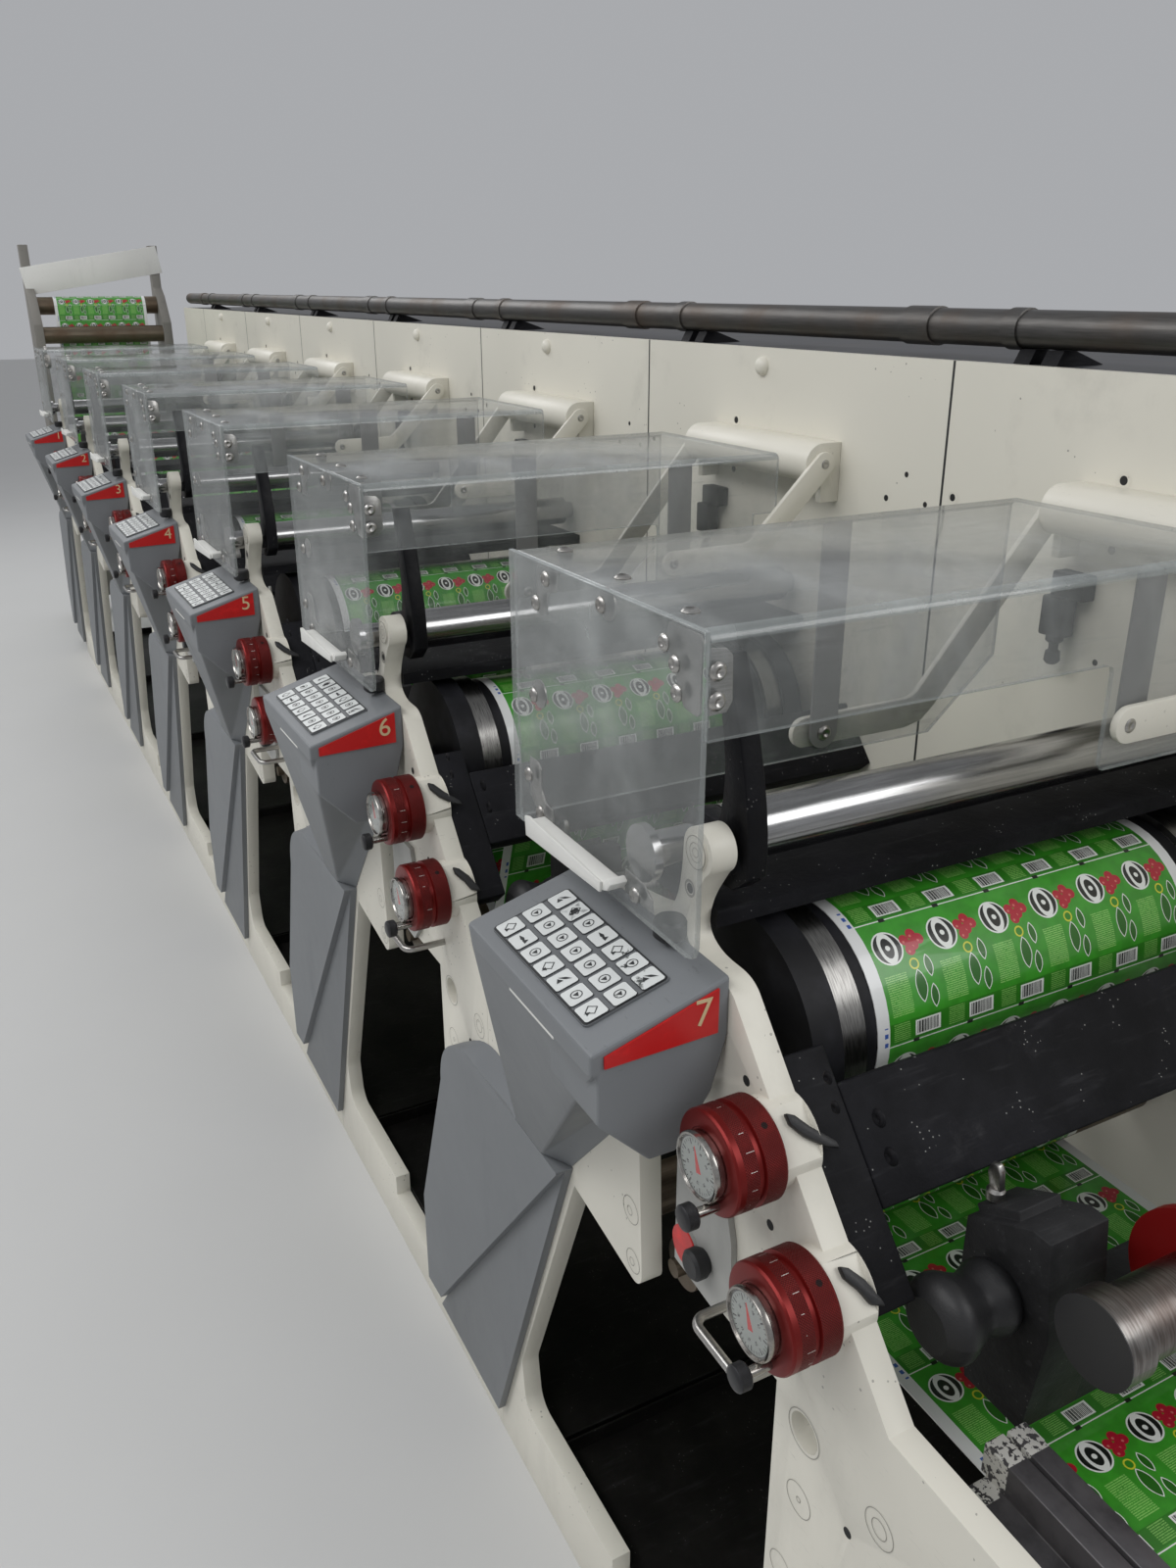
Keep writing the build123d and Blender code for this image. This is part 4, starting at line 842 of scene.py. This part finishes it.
class PRESS_OT_hoods(bpy.types.Operator):
    """Form the clear lift-up hoods with their arms, straps, corner brackets and bolts"""
    bl_idname = "press.hoods"
    bl_label = "Guard hoods"

    def execute(self, context):
        bend = [(62, 1080), (62, 1345), (60.5, 1349.5), (57, 1352.8), (52, 1354),
                (-272, 1354), (-277, 1352.8), (-280.5, 1349.5), (-282, 1345), (-282, 1080),
                (-277, 1080), (-277, 1345), (-275.5, 1348), (-272, 1349),
                (52, 1349), (55.5, 1348), (57, 1345), (57, 1080)]
        shell = cut_plate(bend, "y", -34.8, 600)
        near = cut_plate([(-60, 1070), (-60, 1268), (387, 1268), (393, 1266), (395, 1260), (395, 1172),
                          (401, 1166), (554, 1166), (560, 1172), (560, 1268), (620, 1268), (620, 1070)],
                         "x", 40, 75)
        far = cut_plate([(504, 1070), (506, 1080), (600.5, 1165), (620, 1165), (620, 1070)], "x", -300, -265)
        for cutter in (near, far):
            cut_away(shell, cutter)
        front = cut_plate([(-282, 1080), (-282, 1354), (62, 1354), (62, 1094), (58, 1084), (48, 1080)],
                          "y", -40, -35)
        sheets = soften(joined([shell, front]), 0.7, 1, 60.0)
        per_unit(sheets, "hood_sheets", "clear", "hood", "clear_sheet", True)

        arms = []
        for x, path in ((62.3, [(679, 1334), (568, 1223), (556, 1213), (540, 1210), (418, 1210)]),
                        (-290.3, [(679, 1334), (502, 1123), (489, 1112), (472, 1108), (324, 1108)])):
            arms.append(cut_plate(round_strip(path, 18.0), "x", x, x + 8, 1.6))
        per_unit(joined(arms), "hood_arms", "cream_clean", "hood", "cream_paint")
        straps = []
        for x, y, z in ((53.7, 415, 1210), (-276.7, 325, 1108)):
            turns = [pi * k / 10 for k in range(1, 10)]
            foot = [(y + 19 - 19 * cos(a), z - 19 * sin(a)) for a in turns]
            outline = [(y, 1348), (y, z)] + foot + [(y + 38, z), (y + 38, 1348)]
            straps.append(cut_plate(outline, "x", x, x + 3, 0.5))
        per_unit(joined(straps), "hood_straps", "strap", "hood", "pale_grey")

        brackets = (
            [(3, 1348), (47, 1348), (50, 1344), (50, 1288), (46, 1284), (28, 1286), (18, 1296), (14, 1312),
             (4, 1320), (-2, 1336)],
            [(-232, 1348), (-190, 1348), (-192, 1330), (-210, 1326), (-213, 1304), (-232, 1303)],
            [(-256, 1152), (-238, 1152), (-232, 1146), (-231, 1124), (-222, 1114), (-208, 1112), (-206, 1094),
             (-232, 1094), (-256, 1112)],
            [(-62, 1112), (-30, 1110), (-16, 1102), (-14, 1090), (-62, 1090)])
        steel = [cut_plate(outline, "y", -34.6, -32.6, 0.5) for outline in brackets]
        inner = [(-33, 1340), (-17, 1338), (-11, 1332), (-10, 1296), (-15, 1288), (-33, 1287)]
        steel.append(cut_plate(inner, "x", 54.4, 56.6, 0.5))
        for x, z in ((-231, 1224), (-96, 1340)):
            steel.append(turned((x, -34.6, z), (0, 1, 0), [(0, 14), (1.6, 14), (2, 13.4)], 24))
        front_bolts = ((6, 1333), (22, 1320), (26, 1298), (-201, 1341), (-222, 1315), (-96, 1340),
                       (-231, 1224), (-246, 1138), (-221, 1106), (-34, 1100))
        for places, axis, r, high in (
            ([(x, -40, z) for x, z in front_bolts], AISLE, 7.2, 3.6),
            ([(7, -18, 1354), (-246, 2, 1354), (-119, -7, 1354)], (0, 0, 1), 7.6, 3.6),
            ([(62, -28, 1323), (62, -28, 1300)], (1, 0, 0), 7.6, 3.8),
            ([(70.3, 418, 1210), (70.3, 679, 1334)], (1, 0, 0), 7.0, 1.5),
            ([(-273.6, 344, 1108)], (1, 0, 0), 9.0, 5.0),
        ):
            steel.append(bolts(places, axis, r, high))
        per_unit(joined(steel), "hood_bolts", "steel", "hood", "bright_steel")

        ledge = cut_plate([(-212, 1106), (-60, 1106), (-52, 1112), (-46, 1108), (-52, 1100), (-60, 1097),
                           (-212, 1097)], "y", -58, -40.2, 1.4)
        lip = cut_plate([(-214, 1110), (-206, 1112), (-60, 1106), (-60, 1096), (-212, 1090)],
                        "y", -61, -58, 0.8)
        per_unit(joined([ledge, lip]), "hood_handles", "sheet", "hood", "pale_grey")
        return {"FINISHED"}


class PRESS_OT_knobs(bpy.types.Operator):
    """Turn the knurled knobs with their dial gauges and clamp screws"""
    bl_idname = "press.knobs"
    bl_label = "Knobs and gauges"

    def execute(self, context):
        for body, along in (("knob_upper", 110.0), ("knob_lower", 231.0)):
            x, z = on_slope(along, -24.0)
            cap_x, cap_z = x + 16, z - 30
            grip = turned((x, -11.3, z), AISLE,
                          [(0, 40), (0.6, 43.2), (2.2, 44.5), (20.8, 44.5), (22, 41.6), (26, 41.6),
                           (27.2, 44.5), (45.4, 44.5), (47.4, 43.2), (48, 41.4), (48, 30), (47.2, 29.4),
                           (47.2, 27)], 48)
            per_unit(wrap_uv(grip, (x, -11.3, z)), body + "_grip", "knurl", body, "red_anodised", True)
            case = turned((x, -57.6, z), AISLE,
                          [(0, 28), (7, 28), (8.4, 29.6), (11.6, 29.6), (13, 28.8), (13.1, 27),
                           (10.8, 26)], 40)
            stud = turned((cap_x, -59.0, cap_z), AISLE, [(0, 4.5), (22, 4.5)], 16)
            per_unit(joined([case, stud]), body + "_case", "polish", body, "bright_steel")
            per_unit(dial_face(x, -68.7, z, 26.2), body + "_dial", "dial", body, "white_sheet")
            cap = turned((cap_x, -79.6, cap_z), AISLE,
                         [(0, 6.5), (1.2, 9.6), (2.6, 11), (11.4, 11), (12.6, 10), (13.7, 7)], 24)
            per_unit(wrap_uv(cap, (cap_x, -79.6, cap_z)), body + "_cap", "cap_grip", body, "black_plastic")
        return {"FINISHED"}


class PRESS_OT_plates(bpy.types.Operator):
    """Round the edges of plates and housings, and add the marks, holes, thumb leaves and bolts on them"""
    bl_idname = "press.plates"
    bl_label = "Plates and housings"

    def execute(self, context):
        for node, (width, slot) in ROUNDED.items():
            trim = None
            if node == "side_plates":
                seats = [on_slope(along, out) for along, out in ((60, 7), (285, 7), (285, 45), (60, 45))]
                trim = along_line(cut_plate(seats, "y", -20, 24.8))
            twin = dressed_copy(node, width, trim)
            place(twin, "dressed_" + node, CAD_FINISH[node], "frame", slot, (node,))

        holes = [dark_hole(x, 0, z, 4.8, 20) for x, z in ((256, 639), (129, 856), (85, 972), (-10, 1108))]
        on_frame(holes, "plate_holes", "hole", "black_plastic")
        scribed = ((193, 685, 21.4, 0.8), (-10, 1108, 8.2, 2.4), (193, 606, 17, 0.7), (290, 683, 17, 0.7),
                   (-105, 692, 16, 0.8), (-99, 629, 14, 0.8), (176, 500, 16, 0.7), (292, 560, 15, 0.7),
                   (193, 606, 3, 0.7), (290, 683, 9, 0.7), (-107, 690, 5.5, 0.7), (-101, 627, 5, 0.7))
        rings = [ring_mark(x, 0, z, r, border) for x, z, r, border in scribed]
        rings += [ring_mark(0, -2, BOSS_Z, r, border) for r, border in ((15.2, 0.9), (9.0, 0.7), (4.6, 0.7))]
        on_frame(rings, "plate_marks", "cream_mark", "cream_paint")

        grips = []
        for along, tail, y0, y1 in ((100, 127, 8, 36), (220, 247, 8, 26)):
            leaf = cut_plate([(along - 8, y0 - 6), (along + 2, y0 - 5), (along + 14, y0 + 4), (tail, y1 - 8),
                              (tail + 5, y1 + 4), (tail - 2, y1 + 2), (along + 8, y0 + 12),
                              (along - 4, y0 + 2)], "y", 0, 7, 2.2)
            for vertex in leaf.data.vertices:
                a, up, b = (vertex.co - BOSS) / MM
                x, z = on_slope(a, up + 7.2)
                vertex.co = at(x, b, z)
            edit(leaf)
            grips.append(close_edit(leaf))
        grips.append(turned((-20, -13, 1078), (0, 0, -1), [(0, 13), (3, 15), (16, 15), (20, 11)], 20))
        grips.append(turned((44, -6.6, 751), AISLE, [(0, 12), (5, 15), (14, 15), (17, 12)], 24))
        on_frame(grips, "grips", "handle", "black_plastic")
        arm_bolts = [bolts([(191, 67.2, 945), (173, 67.2, 970)], AISLE, 8.0, 3.6),
                     bolts([(157, 25.2, 1012), (169, 25.2, 992)], AISLE, 5.5, 2.6)]
        on_frame(arm_bolts, "arm_bolts", "black", "black_steel")
        red = turned((14, -9.4, 745), AISLE, [(0, 20.6), (0.8, 20.6), (1.4, 20)], 32)
        on_frame([red], "bracket_discs", "red", "red_plastic")

        middle, height, tilt = 359, 1658.0, radians(9.0)
        c, s = cos(tilt), sin(tilt)
        corners = [(middle + a * c - b * s, height + a * s + b * c)
                   for a, b in ((-320, -62), (320, -62), (320, 62), (-320, 62))]
        board = cut_plate(corners, "x", -1269.7, -1265.7, 0.8)
        place(board, "sign_board", "sheet", "frame", "white_sheet", ("sign_plate",))
        on_frame([block((-101, -131.0, 996.4), (-11, -129.8, 998.6))], "console_slots", "sheet", "pale_grey")
        lever = cut_plate([(204, 888), (216, 888), (214, 905), (210, 912), (202, 910), (200, 900)],
                          "y", 166, 173, 1.8)
        hub = turned((209, 169.5, 878), (0, 0, 1), [(0, 8), (8, 8), (11, 6)], 20)
        on_frame([lever, hub], "wing_levers", "steel", "bright_steel")
        return {"FINISHED"}


def on_panel(u, v, lift):
    """Place on the tilted key panel of the first unit, out by a lift."""
    tilt = atan2(38.0, 131.0)
    c, s = cos(tilt), sin(tilt)
    return at(-71 + u, -65.5 + v * c - lift * s, 1038.3 + v * s + lift * c)


def glyph(u, v, sides, radius, turn=0.0, border=0.0, squash=1.0):
    """Flat figure on the key panel: a filled polygon or an outline."""
    obj = flat(sides, radius)
    if border:
        hollow(obj, border)
    c, s = cos(turn), sin(turn)
    for vertex in obj.data.vertices:
        a, b = vertex.co.x, vertex.co.y * squash
        vertex.co = on_panel(u + a * c - b * s, v + a * s + b * c, 3.25)
    return obj


def tile(u, v, wide, tall, corner, lift, border=0.0, thick=0.0, sides=16):
    """Flat rounded rectangle on the key panel: whole, as an outline, or as a sheet that has a thickness."""
    obj = flat(sides, 1)
    for vertex in obj.data.vertices:
        angle = atan2(vertex.co.y, vertex.co.x) + pi / sides
        a, b = cos(angle), sin(angle)
        vertex.co = on_panel(u + copysign(wide / 2 - corner, a) + corner * a,
                             v + copysign(tall / 2 - corner, b) + corner * b, lift)
    if border:
        hollow(obj, border * MM)
    return modify(obj, "SOLIDIFY", thickness=thick * MM, offset=-1) if thick else obj


# Figures on the keys, as the arguments of glyph counted from the middle of the key
KEY_FIGURES = (
    ((0, 0, 4, 6.5, 0.0, 0.9), (2, -5, 3, 3.0)),
    ((0, 0, 14, 5.6, 0.0, 0.9), (0, 0, 3, 3.4, 0.7)),
    ((0, 3, 4, 7.0, pi / 4, 0.0, 0.22), (0, -3, 3, 3.8, pi / 2)),
    ((0, 0, 4, 6.5, 0.0, 0.9), (2, -5, 3, 3.0, 3.0)),
    ((0, 0, 14, 5.6, 0.0, 0.9), (0, 0, 3, 3.4, 2.8)),
    ((-1, 0, 4, 6.5, 0.0, 0.0, 0.3), (5, 0, 3, 3.6)),
)


class PRESS_OT_keypads(bpy.types.Operator):
    """Lay the key panels with their keys and figures, and the unit numbers on the red plates"""
    bl_idname = "press.keypads"
    bl_label = "Key panels and numbers"

    def execute(self, context):
        middle = -13.0
        sheet = tile(0, middle, 190, 84, 5, 2.0, thick=2.0)
        on_frame([sheet], "key_panels", "panel", "key_film", ("keypads",))
        keys, marks = [], [tile(0, middle, 189, 83, 5, 2.25, border=2.0)]
        for row in range(7):
            for column in range(3):
                u, v = (row - 3) * 27.0, middle + (column - 1) * 28.0
                dark = (row, column) == (1, 2)
                keys.append(tile(u, v, 22.6, 22.6, 2.8, 3.0, border=7.5 if dark else 0.0))
                marks.append(tile(u, v, 24.0, 24.0, 3.4, 2.6))
                for du, dv, *form in KEY_FIGURES[(row * 5 + column * 7 + row * column) % 6]:
                    marks.append(glyph(u + du, v + dv, *form))
        on_frame(keys, "keys", "key", "key_film")
        on_frame(marks, "key_figures", "ink", "black_plastic")

        digits = []
        for n in range(1, UNITS + 1):
            deselect()
            bpy.ops.object.text_add()
            text = bpy.context.object.data
            text.body = str(n)
            text.size = 0.036
            text.extrude = 0.0002
            text.align_x = text.align_y = "CENTER"
            bpy.ops.object.convert(target="MESH")
            digit = bpy.context.object
            upright = Matrix(((0, 0, 1), (1, 0, 0), (0, 1, 0))).to_4x4()
            digit.data.transform(Matrix.Translation(at((n - 1) * PITCH_MM + 58.6, -27, 1030)) @ upright)
            digits.append(digit)
        place(joined(digits), "unit_numbers", "digit", "frame", "red_plastic")
        return {"FINISHED"}


class PRESS_OT_wall(bpy.types.Operator):
    """Add the caps, holes, sleeves and nozzles on the drive wall and its pipe"""
    bl_idname = "press.wall"
    bl_label = "Wall fittings"

    def execute(self, context):
        caps = [turned((-150, WALL_Y, 1462), AISLE, [(0, 15), (3, 14.6), (8, 12), (11, 8), (12.4, 3)], 24)]
        caps += [ring_mark(x, WALL_Y, z, 10.5, 3.6, 24)
                 for x, z in ((-221, 1372), (-223, 1291), (-494, 1315))]
        on_frame(caps, "wall_caps", "cream_clean", "cream_paint")
        holes = [dark_hole(x, WALL_Y, z, r, 16) for x, z, r in (
            (-221, 1372, 5.5), (-223, 1291, 5.5), (-494, 1315, 5.0), (-589, 1334, 4.0), (-628, 1296, 4.5),
            (-546, 1298, 4.0), (-222, 1153, 4.0))]
        on_frame(holes, "wall_holes", "hole", "black_plastic")
        sleeves = [turned((x, 745, 1531), (1, 0, 0),
                          [(0, 23.1), (0.5, 25.4), (long, 25.4), (long + 0.5, 23.1)], 32)
                   for x, long in ((-643, 59), (-450, 26))]
        on_frame(sleeves, "pipe_sleeves", "pipe", "dark_steel")
        nozzle = [block((-286, 690, 1226), (-236, 712.8, 1258), 2.5),
                  block((-290, 682, 1178), (-254, 706, 1228), 3.0),
                  turned((-272, 694, 1180), (0, 0, -1),
                         [(0, 11), (8, 11), (12, 6), (20, 6), (22, 9), (34, 10), (38, 6)], 20)]
        on_frame(nozzle, "wall_nozzles", "black", "black_steel")
        return {"FINISHED"}


class PRESS_OT_stage(bpy.types.Operator):
    """Lay the floor, set the lamps and stand the camera where the press is seen from the operator's aisle"""
    bl_idname = "press.stage"
    bl_label = "Floor, lamps and camera"

    def execute(self, context):
        stage = context.scene.press_stage
        deselect()
        bpy.ops.mesh.primitive_plane_add(size=60.0, location=(0, 0, -0.0005))
        floor = context.object
        floor.name = "floor"
        f = Finish("pale_floor", Roughness=0.6)
        f.set(Base_Color=f.mix(f.noise(3.0, 4.0), tuple(stage.floor), tint(stage.floor, 0.96)))
        floor.data.materials.append(f.material)
        world = bpy.data.worlds.new("soft_room")
        world.use_nodes = True
        light = world.node_tree.nodes["Background"].inputs
        light["Color"].default_value = (0.94, 0.96, 1.0, 1)
        light["Strength"].default_value = stage.sky
        context.scene.world = world
        for name, spot, target, size, power in (
            ("lamp_over", (1.5, -3.6, 4.6), (0.8, 0.0, 0.6), (7.0, 1.6), stage.sun),
            ("lamp_far", (-4.5, -1.2, 4.4), (-1.5, 0.2, 0.8), (3.5, 2.5), stage.sun * 0.5),
            ("lamp_near", (5.5, 1.6, 3.4), (2.5, -0.2, 0.8), (2.5, 2.0), stage.sun * 0.35),
        ):
            data = bpy.data.lights.new(name, "AREA")
            data.shape = "RECTANGLE"
            data.size, data.size_y = size
            data.energy = power
            lamp = bpy.data.objects.new(name, data)
            context.scene.collection.objects.link(lamp)
            lamp.location = spot
            lamp.rotation_euler = (Vector(target) - Vector(spot)).to_track_quat("-Z", "Y").to_euler()
        data = bpy.data.cameras.new("aisle_camera")
        data.lens = stage.lens
        data.sensor_width = 36.0
        data.clip_end = 100.0
        camera = bpy.data.objects.new("aisle_camera", data)
        context.scene.collection.objects.link(camera)
        turn = Matrix((Vector(CAMERA_RIGHT), -Vector(CAMERA_DOWN), -Vector(CAMERA_AHEAD))).transposed()
        camera.matrix_world = Matrix.Translation(at(*CAMERA_AT)) @ turn.to_4x4()
        context.scene.camera = camera
        context.scene.view_settings.view_transform = "Standard"
        return {"FINISHED"}


class PRESS_PT_panel(bpy.types.Panel):
    """Steps that dress the press"""
    bl_label = "Label press"
    bl_idname = "PRESS_PT_panel"
    bl_space_type = "VIEW_3D"
    bl_region_type = "UI"
    bl_category = "Press"

    def draw(self, context):
        for step in STEPS:
            self.layout.operator(step.bl_idname)
        for group in (context.scene.press_colours, context.scene.press_stage):
            for key in group.__annotations__:
                self.layout.prop(group, key)


STEPS = (PRESS_OT_finish, PRESS_OT_hoods, PRESS_OT_knobs, PRESS_OT_plates, PRESS_OT_keypads, PRESS_OT_wall,
         PRESS_OT_stage)
CLASSES = (PressColours, PressStage) + STEPS + (PRESS_PT_panel,)


def register():
    for item in CLASSES:
        bpy.utils.register_class(item)
    bpy.types.Scene.press_colours = PointerProperty(type=PressColours)
    bpy.types.Scene.press_stage = PointerProperty(type=PressStage)


def unregister():
    del bpy.types.Scene.press_stage
    del bpy.types.Scene.press_colours
    for item in reversed(CLASSES):
        bpy.utils.unregister_class(item)


def main():
    register()
    for step in STEPS:
        group, name = step.bl_idname.split(".")
        getattr(getattr(bpy.ops, group), name)()


if __name__ == "__main__":
    main()
